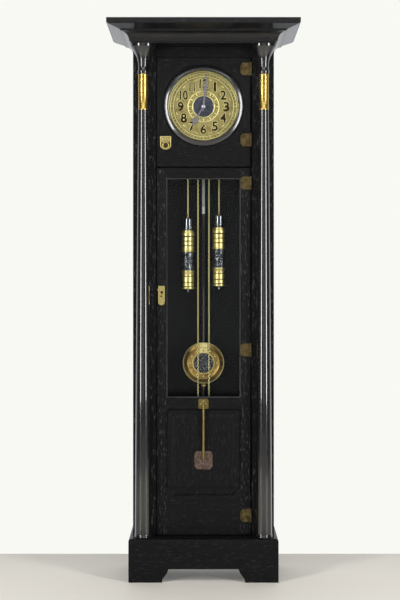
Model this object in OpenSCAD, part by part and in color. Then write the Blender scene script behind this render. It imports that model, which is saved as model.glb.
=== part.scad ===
// Longcase clock with two chain-driven weights, in ebonised oak and brass.
// Millimetres, +Z up. The origin is the centre of the footprint box on the floor.
// The front faces -Y. Inside the modules y = 0 is the front plane of the case.

/* [Case] */
// Width of the case between its outer faces
case_w = 510; // [500:1:516]
// Depth of the case behind its front plane
case_d = 230; // [220:1:240]
// Height of the whole clock
total_h = 2000; // [1990:1:2010]
// Thickness of the side boards
board_t = 18; // [14:1:20]
// Width of the plinth
plinth_w = 536; // [530:1:544]
// Distance the plinth stands in front of the front plane
plinth_front = 75; // [72:1:80]
// Height of the plinth
plinth_h = 155; // [150:1:156]
// Height of the arch cut in the plinth front
arch_h = 48; // [30:1:60]

/* [Cornice] */
// Height of the cornice above the frieze
cornice_h = 75; // [73:1:78]
// Half width of the cornice at its foot
cornice_foot = 257; // [255:1:260]
// Distance the cornice foot stands in front of the front plane
cornice_foot_front = 82; // [80:1:84]
// How far the cornice flares out from foot to fascia
cornice_flare = 84; // [78:1:86]

/* [Columns] */
// Distance of each column's axis from the middle
column_x = 217; // [215:1:219]
// Distance of the column axes in front of the front plane
column_front = 33; // [32:1:35]
// Diameter of the shaft at its foot
shaft_d = 59; // [54:1:60]
// Diameter of the shaft under its brass sleeve
neck_d = 35; // [32:1:38]

/* [Doors] */
// Half width of the doors
door_half = 169; // [166:1:170]
// Distance the door faces stand in front of the front plane
door_proud = 3; // [2:1:4]
// Thickness of the door frames
door_t = 24; // [22:1:24]
// Height of the dial centre
dial_z = 1712; // [1708:1:1716]
// Slope of the dished field round the dial, as a fraction
dish_slope = 0.14; // [0.10:0.01:0.16]

/* [Movement] */
// Pitch radius of the chain sprockets
sprocket_r = 18.5; // [18:0.5:19]
// Distance from the sprocket axes to the middle
sprocket_x = 38.5; // [38:0.5:40]
// Radius of the dial plate
dial_r = 131; // [128:1:133]

/* [Pendulum] */
// Distance from the pivot of the pendulum to the centre of its bob
pendulum_l = 994; // [985:1:1000]
// Radius of the bob
bob_r = 76; // [70:1:80]

/* [Hidden] */

// Colours of the finishes
ebony = "#1d1d1f";
gloss_black = "#101012";
brass = "#c9a94a";
old_brass = "#8a7434";
copper = "#6a5048";
steel = "#b9bcc0";
blued = "#3a3c4a";
nickel = "#a9aaac";

// Fits
play = 0.05;            // radial running clearance of a pivot
gap = 0.3;              // clearance between surfaces that pass each other
glue_line = 0.2;        // space between separate pieces that are glued or screwed face to face

// Case
overhang = cornice_foot_front + cornice_flare;
front_y = -(case_d - overhang) / 2;
side_x = case_w / 2;
cornice_z = total_h - cornice_h;
frieze_z = cornice_z - 39;
back_t = 12;
stile_t = 22;
rail_t = 20;
top_half = 225;
hinge_x = door_half + 3;
hinge_y = -door_proud - 3.5;
stile_edge_l = door_half + 2;
stile_edge_r = hinge_x + 3;

// Doors
hood_z0 = 1491;
hood_z1 = frieze_z - 1.5;
hood_rail_h = 67;
trunk_z0 = 158;
trunk_z1 = 1485;
door_back = door_t - door_proud;
glass_z0 = 657;
glass_z1 = 1446;
glass_half_w = 132;
panel_z0 = 304;
panel_z1 = 609;
panel_half_w = 132;
field_half_w = 103;
field_z0 = 336;
field_z1 = 580;
ring_outer = 148;
ring_inner = 127;
hood_hinges = [1844, 1587];
trunk_hinges = [1431, 827, 228];
hinge_h = 46;
knuckle_r = 3.5;
hinge_pin_r = 1.5;

// Movement, where each arbor stands as [x, z]
plate_front_y = 56;
plate_back_y = 98;
plate_t = 2.5;
plate_half_w = 80;
seat_z = 1563;
plate_top = 1800;
// The hands stand at a minute past seven
minute_angle = 6;
hour_angle = 7 * 30 + minute_angle / 12;
pivot_r = 1.5;
arbor_r = 2.2;
centre_post_r = 2.5;
pendulum_z = 773 + pendulum_l;
pendulum_y = 120;
chain_y = 75;
going_at = [sprocket_x, 1660];
strike_at = [-sprocket_x, 1660];
centre_at = [0, dial_z];
anchor_at = [0, pendulum_z];
escape_at = [0, pendulum_z - 24];
hammer_at = [-72, 1625];

// Teeth and modules of the meshing pairs
great_teeth = 74;
great_module = 1;
leaves = 10;
mid_teeth = 54;
centre_leaves = 20;
mid_module = 0.9;
centre_teeth = 64;
third_leaves = 8;
centre_module = 0.75;
third_teeth = 60;
escape_leaves = 8;
third_module = 0.7;
cannon_teeth = 12;
minute_teeth = 36;
minute_leaves = 10;
hour_teeth = 40;
cannon_module = 0.8;

function mesh_distance(a, b, m) = (a + b) * m / 2;
function flat_distance(p, q) = norm(q - p);
// The point at distance rp from p and rq from q, on the left of the way from p to q when side is 1
function apex(p, q, rp, rq, side) =
    let (d = flat_distance(p, q), u = (q - p) / d, along = (rp * rp - rq * rq + d * d) / (2 * d))
    p + u * along + side * sqrt(rp * rp - along * along) * [-u[1], u[0]];
function polar(r, a) = [r * cos(a), r * sin(a)];
function bearing(p, q) = atan2(q[1] - p[1], q[0] - p[0]);
function arc(r, a0, a1, n) = [for (i = [0:n]) polar(r, a0 + (a1 - a0) * i / n)];
function shifted(points, by) = [for (p = points) p + by];

mid_at = apex(going_at, centre_at, mesh_distance(great_teeth, leaves, great_module),
    mesh_distance(mid_teeth, centre_leaves, mid_module), -1);
third_at = apex(centre_at, escape_at, mesh_distance(centre_teeth, third_leaves, centre_module),
    mesh_distance(third_teeth, escape_leaves, third_module), 1);
minute_at = centre_at + polar(mesh_distance(cannon_teeth, minute_teeth, cannon_module), -30);
pin_at = strike_at + polar(mesh_distance(great_teeth, leaves, great_module), 125);
hour_module = 2 * flat_distance(minute_at, centre_at) / (minute_leaves + hour_teeth);

// Moves the case frame to the part's frame
module place() translate([0, front_y, 0]) children();
module slab(x0, x1, y0, y1, z0, z1) translate([x0, y0, z0]) cube([x1 - x0, y1 - y0, z1 - z0]);
module both_sides() {
    children();
    mirror([1, 0, 0]) children();
}
// Stands a flat outline drawn in x and z on the plane y0 and gives it thickness t towards the back
module upright(y0, t) translate([0, y0 + t, 0]) rotate([90, 0, 0]) linear_extrude(t) children();
// A cylinder along Y through the point at [x, z]
module rod_y(at, r, y0, y1, fn = 64)
    translate([at[0], y0, at[1]]) rotate([-90, 0, 0]) cylinder(h = y1 - y0, r = r, $fn = fn);
// A turned shape whose axis runs along Y; its outline is [radius, y]
module turned_y(at, outline) translate([at[0], 0, at[1]]) rotate([-90, 0, 0]) rotate(17)
    rotate_extrude($fn = 96) polygon(outline);

// Outline of a wheel with trapezoid teeth; one tooth points along angle aim, or a gap when between is 0.5
module gear(teeth, m, aim, between, width = 0.4) {
    step = 360 / teeth;
    tip = teeth * m / 2 + 0.75 * m;
    root = teeth * m / 2 - 1.05 * m;
    polygon([for (i = [0:teeth - 1], c = [[root, -width], [tip, -width * 0.45], [tip, width * 0.45],
        [root, width]]) polar(c[0], aim + (i + between) * step + c[1] * step / 2)]);
}
module wheel(at, teeth, m, aim, between, y0, t, width = 0.4, spokes = 0) upright(y0, t)
    translate(at) difference() {
        gear(teeth, m, aim, between, width);
        if (spokes > 0) for (k = [0:spokes - 1]) rotate(k * 360 / spokes + 20)
            polygon(concat(arc(teeth * m / 2 - 4, 9, 360 / spokes - 9, 10),
                arc(8, 360 / spokes - 18, 18, 4)));
    }
// An arbor between the plates with its two pivots
module arbor(at, y0, y1) {
    rod_y(at, arbor_r, plate_front_y + plate_t + gap, plate_back_y - gap);
    rod_y(at, pivot_r, y0, y1);
}
pivot_front = plate_front_y - 1;
pivot_back = plate_back_y + plate_t + 1;

// ---- Case ----
module plinth_arch() polygon([[-148, -1], [-147, 12], [-139, 22], [-131, 33], [-125, arch_h],
    [125, arch_h], [131, 33], [139, 22], [147, 12], [148, -1]]);
module plinth_boards() color(ebony) place() {
    half = plinth_w / 2;
    top = plinth_h - 12;
    difference() {
        slab(-half, half, -plinth_front, 22 - plinth_front, 0, top);
        upright(-plinth_front - 1, 24) plinth_arch();
    }
    both_sides() slab(half - 22, half, 22 - plinth_front + glue_line, case_d, 0, top);
}
// The top board has a rounded edge of radius 9 along its front and both sides
module plinth_top() color(ebony) place() {
    half = plinth_w / 2;
    r = 9;
    z0 = plinth_h - 12;
    intersection() {
        translate([-half, 0, 0]) rotate([90, 0, 90]) linear_extrude(plinth_w)
            polygon(concat([[case_d, z0], [case_d, plinth_h]],
                shifted(arc(r, 90, 180, 8), [r - plinth_front, plinth_h - r]), [[-plinth_front, z0]]));
        upright(-plinth_front, plinth_front + case_d) polygon(concat([[-half, z0]],
            shifted(arc(r, 180, 90, 8), [r - half, plinth_h - r]),
            shifted(arc(r, 90, 0, 8), [half - r, plinth_h - r]), [[half, z0]]));
    }
}
module case_sides() color(ebony) place() both_sides()
    slab(side_x - board_t, side_x, stile_t, case_d, plinth_h, cornice_z);
module back_board() color(ebony) place()
    slab(board_t - side_x, side_x - board_t, case_d - back_t, case_d, plinth_h, cornice_z);
module front_stiles() color(ebony) place() {
    slab(-side_x, -stile_edge_l, 0, stile_t, plinth_h, cornice_z);
    slab(stile_edge_r, side_x, 0, stile_t, plinth_h, cornice_z);
}
module case_rails() color(ebony) place() {
    half = side_x - board_t;
    slab(-half, half, stile_t, stile_t + rail_t, plinth_h, plinth_h + 16);
    slab(-half, half, stile_t, stile_t + rail_t, trunk_z1 - 15, hood_z0 + 15);
    slab(-half, half, stile_t, stile_t + rail_t, frieze_z - 10, cornice_z);
    slab(-stile_edge_l, stile_edge_r, 0, stile_t, frieze_z, cornice_z);
}
// Half of the cornice section: [flare, height above its foot]
cornice_section = concat([[0, 0], [0, 5]], [for (a = [0:9:90]) [7 + 30 * (1 - cos(a)), 5 + 32 * sin(a)]],
    [[37, 40], [40, 40], [40, 42], [80, 55], [80, 58], [cornice_flare, 58], [cornice_flare, cornice_h]]);
module cornice() color(ebony) place() difference() {
    intersection() {
        translate([-400, 0, 0]) rotate([90, 0, 90]) linear_extrude(800)
            polygon(concat([for (p = cornice_section) [-cornice_foot_front - p[0], cornice_z + p[1]]],
                [[case_d, total_h], [case_d, cornice_z]]));
        upright(-400, 700) polygon(concat(
            [for (p = cornice_section) [-cornice_foot - p[0], cornice_z + p[1]]],
            [for (i = [len(cornice_section) - 1:-1:0]) [cornice_foot + cornice_section[i][0],
                cornice_z + cornice_section[i][1]]]));
    }
    slab(-top_half, top_half, 20, case_d - back_t, cornice_z + 16, total_h + 1);
}
module top_board() color(ebony) place()
    slab(-top_half, top_half, 20, case_d - back_t, total_h - 14, total_h);

// ---- Columns ----
column_at = [column_x, -column_front];
sleeve_z0 = 1691;
sleeve_z1 = 1820;
capital_z0 = 1848;
module columns() color(gloss_black) place() both_sides()
    translate([column_at[0], column_at[1], 0]) rotate_extrude($fn = 96) polygon(concat(
        [[0, plinth_h], [31, plinth_h], [31, plinth_h + 6], [shaft_d / 2, plinth_h + 9]],
        [for (t = [0:0.125:1]) [shaft_d / 2 - (shaft_d - neck_d - 1) / 2 * pow(t, 1.25),
            plinth_h + 12 + (sleeve_z0 - plinth_h - 12) * t]],
        [[neck_d / 2 - 0.7, sleeve_z0], [neck_d / 2 - 0.7, sleeve_z1], [neck_d / 2 + 1.5, sleeve_z1],
            [neck_d / 2 + 2.5, sleeve_z1 + 4], [neck_d / 2 + 2.5, sleeve_z1 + 12],
            [neck_d / 2 + 0.5, sleeve_z1 + 16], [neck_d / 2 + 0.5, capital_z0], [0, capital_z0]]));
module column_sleeves() color(brass) place() both_sides()
    translate([column_at[0], column_at[1], 0]) rotate_extrude($fn = 96)
        polygon([[neck_d / 2 - 0.7, sleeve_z0], [neck_d / 2 + 0.9, sleeve_z0],
            [neck_d / 2 + 0.9, sleeve_z0 + 4], [neck_d / 2 + 0.2, sleeve_z0 + 5],
            [neck_d / 2 + 0.2, sleeve_z1 - 5], [neck_d / 2 + 0.9, sleeve_z1 - 4],
            [neck_d / 2 + 0.9, sleeve_z1], [neck_d / 2 - 0.7, sleeve_z1]]);
// The capital flares like a trumpet and ends in a thin disc under the cornice
// The back of each capital is cut flat where it meets the front of the case
module capitals() color(gloss_black) place() both_sides() difference() {
    translate([column_at[0], column_at[1], 0]) rotate_extrude($fn = 96)
        polygon(concat([[0, capital_z0]],
            [for (t = [0:0.1:1]) [18.2 + 27 * pow(t, 2.2), capital_z0 + (cornice_z - 9 - capital_z0) * t]],
            [[47.5, cornice_z - 9], [47.5, cornice_z], [0, cornice_z]]));
    slab(column_at[0] - 60, column_at[0] + 60, 0, 60, capital_z0 - 1, cornice_z + 1);
}

// ---- Inside the case ----
module seatboard() color(ebony) place() {
    half = side_x - board_t;
    difference() {
        slab(-half, half, 46, 104, seat_z - 18, seat_z);
        both_sides() slab(12, 65, 68, 82, seat_z - 19, seat_z + 1);
    }
    both_sides() slab(half - 16, half, 46, 200, seat_z - 58, seat_z - 18);
}
module gong_block() color(ebony) place() difference() {
    slab(62, 118, 132, case_d - back_t, 1405, 1484);
    translate([90, 150, 1462]) cylinder(h = 30, r = 2.5, $fn = 48);
}
gong_centre = [22, 1560];
module gong() color(steel) place() translate([gong_centre[0], 150, gong_centre[1]]) {
    rotate([90, 0, 0]) for (k = [0:5])
        translate([k % 2 == 0 ? 0 : -8, 0, 0]) rotate(k % 2 == 0 ? 0 : 180)
            rotate_extrude(angle = 180, $fn = 96) translate([68 - 8 * k, 0]) circle(r = 2.5, $fn = 32);
    translate([68, 0, -98]) cylinder(h = 98, r = 2.5, $fn = 48);
}

// ---- Hinges ----
module knuckle(z0, z1, bore) translate([hinge_x, hinge_y, z0]) difference() {
    cylinder(h = z1 - z0, r = knuckle_r, $fn = 48);
    translate([0, 0, -1]) cylinder(h = z1 - z0 + 2, r = bore, $fn = 48);
}
third_h = hinge_h / 3;
module case_leaf(z) {
    slab(stile_edge_r - 2, stile_edge_r, hinge_y + knuckle_r + 0.5, 18, z - hinge_h / 2, z + hinge_h / 2);
    for (s = [-1, 1]) {
        z0 = s > 0 ? z + third_h / 2 + gap / 2 : z - hinge_h / 2;
        z1 = s > 0 ? z + hinge_h / 2 : z - third_h / 2 - gap / 2;
        knuckle(z0, z1, hinge_pin_r);
        difference() {
            slab(hinge_x, stile_edge_r, hinge_y, hinge_y + knuckle_r + 1, z0, z1);
            translate([hinge_x, hinge_y, z0 - 1]) cylinder(h = z1 - z0 + 2, r = 2.4, $fn = 48);
        }
    }
}
module hinge_pin(z) translate([hinge_x, hinge_y, 0]) {
    translate([0, 0, z - hinge_h / 2]) cylinder(h = hinge_h, r = hinge_pin_r, $fn = 48);
    translate([0, 0, z + hinge_h / 2]) cylinder(h = 2.5, r1 = 3, r2 = 1, $fn = 48);
    translate([0, 0, z - hinge_h / 2 - 2.5]) cylinder(h = 2.5, r1 = 1, r2 = 3, $fn = 48);
}
module case_hinge_leaves() color(old_brass) place()
    for (z = concat(hood_hinges, trunk_hinges)) {
        case_leaf(z);
        hinge_pin(z);
    }
// The leaf on the door face has clipped corners on its free side
module door_leaf(z) {
    face = -door_proud;
    edge = hinge_x - knuckle_r - gap;
    upright(face - 2, 2) translate([0, z]) polygon([[edge, -hinge_h / 2], [edge, hinge_h / 2],
        [hinge_x - 30, hinge_h / 2], [hinge_x - 38, hinge_h / 2 - 8], [hinge_x - 38, 8 - hinge_h / 2],
        [hinge_x - 30, -hinge_h / 2]]);
    difference() {
        union() {
            translate([hinge_x, hinge_y, z - third_h / 2]) cylinder(h = third_h, r = knuckle_r, $fn = 48);
            slab(hinge_x - 4, hinge_x, face - 2, face, z - third_h / 2, z + third_h / 2);
        }
        translate([hinge_x, hinge_y, z - third_h]) cylinder(h = hinge_h, r = hinge_pin_r + play, $fn = 48);
    }
}
module hood_hinge_leaves() color(old_brass) place() for (z = hood_hinges) door_leaf(z);
module trunk_hinge_leaves() color(old_brass) place() for (z = trunk_hinges) door_leaf(z);

// ---- Hood door ----
// The dish is a shallow four-sided recess: wherever x and z lie inside the sloping sides
module dish(z0, z1) {
    depth = 30;
    run = depth / dish_slope;
    half = door_half + 1;
    mid = (z0 + z1) / 2;
    tall = (z1 - z0) / 2 + 1;
    intersection() {
        translate([0, 0, z0 - 10]) linear_extrude(z1 - z0 + 20) polygon([[-half, -door_proud - 0.15],
            [-half, -door_proud - 5], [half, -door_proud - 5], [half, -door_proud - 0.15],
            [0, half * dish_slope - door_proud]]);
        translate([-half - 10, 0, 0]) rotate([90, 0, 90]) linear_extrude(2 * half + 20)
            polygon([[-door_proud - 0.15, mid - tall], [-door_proud - 5, mid - tall],
                [-door_proud - 5, mid + tall], [-door_proud - 0.15, mid + tall],
                [tall * dish_slope - door_proud, mid]]);
    }
}
module hood_door() color(ebony) place() difference() {
    slab(-door_half, door_half + 1, -door_proud, door_back, hood_z0, hood_z1);
    dish(hood_z0 + hood_rail_h, hood_z1);
    rod_y(centre_at, ring_outer, -20, 10, 128);
    rod_y(centre_at, 137, -20, 13, 128);
    rod_y(centre_at, ring_inner, -20, 40, 128);
}
module hood_ring() color(gloss_black) place() turned_y([0, dial_z], concat([[ring_inner, 10]],
    [for (a = [180:15:360]) [137.5 + 10.5 * cos(a), -1 + 8 * sin(a)]], [[ring_outer, 10]]));
module hood_glass() color([0.8, 0.85, 0.85, 0.35]) place() rod_y(centre_at, 137, 10, 13, 128);
hood_pull_at = [-137, 1577];
// Radius of the lugs that hold the ring
lug_r = 2.6;
module hood_pull_plate() color(brass) place() {
    face = -door_proud;
    upright(face - 2, 2) translate(hood_pull_at) polygon(concat([[-20, 24], [-20, -12], [-15, -18]],
        shifted(arc(13, 230, 310, 8), [0, -12]), [[15, -18], [20, -12], [20, 24]]));
    both_sides_of(hood_pull_at[0]) difference() {
        union() {
            translate([hood_pull_at[0] + 8, face - 6, hood_pull_at[1] + 2]) rotate([0, 90, 0])
                cylinder(h = 4, r = lug_r, $fn = 48);
            slab(hood_pull_at[0] + 8, hood_pull_at[0] + 12, face - 6, face - 2, hood_pull_at[1] + 2 - lug_r,
                hood_pull_at[1] + 2 + lug_r);
        }
        translate([hood_pull_at[0] + 7, face - 6, hood_pull_at[1] + 2]) rotate([0, 90, 0])
            cylinder(h = 6, r = 1.5 + play, $fn = 48);
    }
}
module both_sides_of(x) {
    children();
    translate([2 * x, 0, 0]) mirror([1, 0, 0]) children();
}
// The drop ring hangs from a pin held by two lugs
module hood_pull() color(brass) place()
    translate([hood_pull_at[0], -door_proud - 6, hood_pull_at[1] + 2]) {
        rotate([0, 90, 0]) translate([0, 0, -12]) cylinder(h = 24, r = 1.5, $fn = 32);
        rotate([0, 90, 0]) translate([0, 0, -7]) cylinder(h = 14, r = 2.8, $fn = 32);
        translate([0, 0, -12]) rotate([90, 0, 0]) rotate_extrude($fn = 64) translate([10.5, 0])
            circle(r = 1.9, $fn = 24);
    }

// ---- Trunk door ----
module window(half, z0, z1, clip_low, clip_high) polygon([[-half, z0 + clip_low], [clip_low - half, z0],
    [half - clip_low, z0], [half, z0 + clip_low], [half, z1 - clip_high], [half - clip_high, z1],
    [clip_high - half, z1], [-half, z1 - clip_high]]);
// Carries an upright outline from y0 towards the front by h while its edges move out by grow
module flared(y0, h, half, z0, z1, grow) {
    tall = (z1 - z0) / 2;
    translate([0, y0, (z0 + z1) / 2]) rotate([90, 0, 0])
        linear_extrude(height = h, scale = [(half + grow) / half, (tall + grow) / tall])
            translate([0, -(z0 + z1) / 2]) children();
}
edge_w = 5;             // width of the chamfer round the door's openings
field_slope_w = 12;     // width of the slope round the raised field
module trunk_door() color(ebony) place() {
    face = -door_proud;
    difference() {
        slab(-door_half, door_half + 1, face, door_back, trunk_z0, trunk_z1);
        upright(face - 1, door_t + 2) window(glass_half_w, glass_z0, glass_z1, 3, 3);
        upright(12, door_t) window(glass_half_w + 8, glass_z0 - 8, glass_z1 + 8, 3, 3);
        upright(face - 1, door_t + 2) window(panel_half_w, panel_z0, panel_z1, 24, 6);
        flared(face + edge_w, edge_w + 0.01, glass_half_w, glass_z0, glass_z1, edge_w)
            window(glass_half_w, glass_z0, glass_z1, 3, 3);
        flared(face + edge_w, edge_w + 0.01, panel_half_w, panel_z0, panel_z1, edge_w)
            window(panel_half_w, panel_z0, panel_z1, 24, 6);
        upright(6, door_t) slab_outline(panel_half_w + 9, panel_z0 - 9, panel_z1 + 9);
    }
}
module slab_outline(half, z0, z1) translate([-half, z0]) square([2 * half, z1 - z0]);
module trunk_glass() color([0.8, 0.85, 0.85, 0.35]) place() upright(12, 4)
    window(glass_half_w + 7.5, glass_z0 - 7.5, glass_z1 + 7.5, 3, 3);
module glass_beads() color(ebony) place() upright(16, door_back - 16) difference() {
    window(glass_half_w + 8, glass_z0 - 8, glass_z1 + 8, 3, 3);
    window(glass_half_w, glass_z0, glass_z1, 3, 3);
}
// The panel sits in a groove behind the frame, with a raised field in front
module trunk_panel() color(ebony) place() {
    upright(6, door_back - 6) slab_outline(panel_half_w + 9, panel_z0 - 9, panel_z1 + 9);
    half = field_half_w + field_slope_w;
    z0 = field_z0 - field_slope_w;
    z1 = field_z1 + field_slope_w;
    flared(6, 3, half, z0, z1, -field_slope_w) slab_outline(half, z0, z1);
}
plaque_face = -door_proud;
upper_plaque_z = 632.5;
lower_plaque_z = 427;
panel_face = 3;
module door_plaques() {
    color(brass) place() upright(plaque_face - 3, 3) translate([0, upper_plaque_z]) polygon([
        [-18.5, -16.5], [-16.5, -18.5], [16.5, -18.5], [18.5, -16.5], [18.5, 14], [14, 18.5], [-14, 18.5],
        [-18.5, 14]]);
    color(copper) place() upright(panel_face - 4, 4) translate([0, lower_plaque_z]) polygon([
        [-33, -22], [-23, -33], [23, -33], [33, -22], [33, 20], [21, 33], [-21, 33], [-33, 20]]);
}
// The rod runs from the upper plaque down on to the lower one and ends in a point
module ornament_rod() color(brass) place() {
    translate([0, plaque_face - 7.5, lower_plaque_z + 8]) cylinder(h = 196, r = 4.5, $fn = 48);
    translate([0, plaque_face - 7.5, lower_plaque_z - 4]) cylinder(h = 12, r1 = 1.2, r2 = 4.5, $fn = 48);
    difference() {
        translate([0, plaque_face - 7.5, lower_plaque_z + 204]) cylinder(h = 9, r1 = 4.5, r2 = 6, $fn = 48);
        slab(-7, 7, plaque_face - 3, plaque_face + 2, lower_plaque_z + 200, lower_plaque_z + 216);
    }
    rod_y([0, upper_plaque_z], 3, plaque_face - 6, plaque_face - 3, 32);
    rod_y([0, lower_plaque_z + 14], 3, plaque_face - 6, panel_face - 4, 32);
}
keyhole_at = [-152, 1024];
module keyhole_plate() color(brass) place() {
    face = -door_proud;
    difference() {
        upright(face - 2, 2) translate(keyhole_at) polygon([[-11, 34.5], [-11, 24], [-17, 22], [-12, 17],
            [-12, -22], [-7, -31], [7, -31], [12, -22], [12, 34.5]]);
        upright(face - 3, 4) translate(keyhole_at + [1, 12]) union() {
            circle(r = 3, $fn = 32);
            translate([-1.2, -9]) square([2.4, 9]);
        }
    }
    for (x = [-9, 6]) difference() {
        slab(keyhole_at[0] + x, keyhole_at[0] + x + 3, face - 8, face - 2, keyhole_at[1] - 5,
            keyhole_at[1] + 2);
        translate([keyhole_at[0] + x - 1, face - 5, keyhole_at[1] - 2]) rotate([0, 90, 0])
            cylinder(h = 5, r = 1.2 + play, $fn = 32);
    }
}
module trunk_pull() color(brass) place()
    translate([keyhole_at[0], -door_proud - 5, keyhole_at[1] - 2]) {
        rotate([0, 90, 0]) translate([0, 0, -9]) cylinder(h = 18, r = 1.2, $fn = 32);
        rotate([0, 90, 0]) translate([0, 0, -5]) cylinder(h = 10, r = 2.3, $fn = 32);
        upright(-1.5, 3) polygon(concat([[4, 0], [5, -6]], shifted(arc(12, 40, -220, 20), [0, -21]),
            [[-5, -6], [-4, 0]]));
    }

// ---- Movement frame ----
module plate(y0, holes) difference() {
    upright(y0, plate_t) translate([-plate_half_w, seat_z]) square([2 * plate_half_w, plate_top - seat_z]);
    for (h = holes) rod_y(h[0], h[1] + play, y0 - 1, y0 + plate_t + 1);
}
pivots = [[going_at, pivot_r], [strike_at, pivot_r], [mid_at, pivot_r], [third_at, pivot_r],
    [escape_at, pivot_r], [pin_at, pivot_r]];
module front_plate() color(brass) place()
    plate(plate_front_y, concat(pivots, [[centre_at, centre_post_r], [anchor_at, pivot_r],
        [hammer_at, pivot_r]]));
module back_plate() color(brass) place()
    plate(plate_back_y, concat(pivots, [[centre_at, pivot_r], [anchor_at, pivot_r], [hammer_at, pivot_r]]));
module plate_pillars() color(steel) place() for (x = [-70, 70], z = [seat_z + 12, plate_top - 12])
    rod_y([x, z], 4, plate_front_y + plate_t, plate_back_y);
module suspension_cock() color(brass) place() difference() {
    slab(-14, 14, plate_back_y + plate_t, pendulum_y + 6, pendulum_z + 1, pendulum_z + 20);
    slab(-7, 7, pendulum_y - 0.4, pendulum_y + 7, pendulum_z, pendulum_z + 14);
    slab(-15, 15, plate_back_y, pendulum_y - 8, pendulum_z, pendulum_z + 6);
}
module dial() color(brass) place() {
    difference() {
        turned_y([0, dial_z], [[5, 28], [38, 28], [39, 27], [56, 27], [57, 28], [109, 28], [110.5, 27],
            [112, 28], [118.5, 28], [120, 27], [122, 28], [126, 27], [dial_r, 27], [dial_r, 29.5], [5, 29.5]]);
    }
    for (x = [-60, 60], z = [-55, 55]) rod_y([x, dial_z + z], 3, 29.5, plate_front_y, 32);
}

// ---- Hands and motion work ----
module minute_hand() color(blued) place() {
    difference() {
        union() {
            upright(19.5, 1.2) translate(centre_at) rotate(-minute_angle)
                polygon([[-3.6, 0], [-3, 34], [-5, 47], [-5, 74], [-0.8, 117], [0.8, 117], [5, 74], [5, 47],
                    [3, 34], [3.6, 0], [1.8, -18], [-1.8, -18]]);
            rod_y(centre_at, 6.5, 19.5, 20.7, 48);
        }
        rod_y(centre_at, 2.5, 15, 25, 48);
    }
}
module hand_nut() color(steel) place() turned_y([0, dial_z],
    concat([[2.5, 19.5], [2.5, 18], [0, 18]], [for (a = [-90:15:0]) [7 * cos(a), 18 + 3 * sin(a)]],
        [[7, 19.5]]));
module centre_wheel() color(brass) place() {
    rod_y(centre_at, centre_post_r, 18, plate_front_y + plate_t + 2);
    rod_y(centre_at, arbor_r, plate_front_y + plate_t + 2, plate_back_y - gap);
    rod_y(centre_at, pivot_r, plate_back_y - gap, pivot_back);
    wheel(centre_at, cannon_teeth, cannon_module, bearing(centre_at, minute_at), 0, 50.2, 2.6, 0.34);
    wheel(centre_at, centre_teeth, centre_module, bearing(centre_at, third_at), 0.5, 64, 2, 0.37, 5);
    wheel(centre_at, centre_leaves, mid_module, bearing(centre_at, mid_at), 0, 88.5, 3, 0.34);
}
module hour_hand() color(blued) place() {
    difference() {
        union() {
            rod_y(centre_at, 8, 23, 24.2, 48);
            upright(23, 1.2) translate(centre_at) rotate(-hour_angle)
                polygon([[-3, 0], [-2.4, 46], [-9, 53], [-10.5, 60], [-7, 67], [-3, 71], [0, 86], [3, 71],
                    [7, 67], [10.5, 60], [9, 53], [2.4, 46], [3, 0]]);
            rod_y(centre_at, 4.3, 23, 47.4);
            wheel(centre_at, hour_teeth, hour_module, bearing(centre_at, minute_at), 0.5, 45, 2.4);
        }
        rod_y(centre_at, 2.6, 15, 60, 48);
    }
}
module minute_wheel() color(brass) place() {
    wheel(minute_at, minute_teeth, cannon_module, bearing(minute_at, centre_at), 0.5, 50.4, 2.2, 0.4, 4);
    wheel(minute_at, minute_leaves, hour_module, bearing(minute_at, centre_at), 0, 44.8, 5.6, 0.34);
    rod_y(minute_at, 1.5, 43, plate_front_y - gap);
}

// ---- Trains ----
module sprocket(at) difference() {
    turned_y(at, [[0, 69], [21.5, 69], [21.5, 70.5], [15.2, 70.8], [15.2, 79.2], [21.5, 79.5],
        [21.5, 81], [12, 81], [12, 83], [0, 83]]);
    rod_y(at, arbor_r + play, 60, 90);
}
module great_wheel(at, mate) {
    arbor(at, pivot_front, pivot_back);
    wheel(at, great_teeth, great_module, bearing(at, mate), 0.5, 84, 2.5, 0.4, 6);
}
module going_sprocket() color(brass) place() sprocket(going_at);
module strike_sprocket() color(brass) place() sprocket(strike_at);
module going_great_wheel() color(brass) place() great_wheel(going_at, mid_at);
module strike_great_wheel() color(brass) place() great_wheel(strike_at, pin_at);
module intermediate_wheel() color(brass) place() {
    arbor(mid_at, pivot_front, pivot_back);
    wheel(mid_at, leaves, great_module, bearing(mid_at, going_at), 0, 83.5, 3.5, 0.34);
    wheel(mid_at, mid_teeth, mid_module, bearing(mid_at, centre_at), 0.5, 89, 2, 0.4, 5);
}
module third_wheel() color(brass) place() {
    arbor(third_at, pivot_front, pivot_back);
    wheel(third_at, third_leaves, centre_module, bearing(third_at, centre_at), 0, 63.5, 3, 0.3);
    wheel(third_at, third_teeth, third_module, bearing(third_at, escape_at), 0.5, 70, 2, 0.4, 5);
}
escape_r = 16;
module escape_wheel() color(brass) place() {
    rod_y(escape_at, 1.8, plate_front_y + plate_t + gap, plate_back_y - gap);
    rod_y(escape_at, pivot_r, pivot_front, pivot_back);
    wheel(escape_at, escape_leaves, third_module, bearing(escape_at, third_at), 0, 69.5, 3, 0.34);
    upright(93, 1.5) translate(escape_at) difference() {
        polygon([for (i = [0:29], c = [[12.6, 0], [escape_r, 5], [escape_r, 6], [12.6, 6.5]])
            polar(c[0], i * 12 + c[1])]);
        for (k = [0:3]) rotate(k * 90) polygon(concat(arc(10.4, 12, 78, 8), arc(4, 70, 20, 3)));
    }
}
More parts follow.
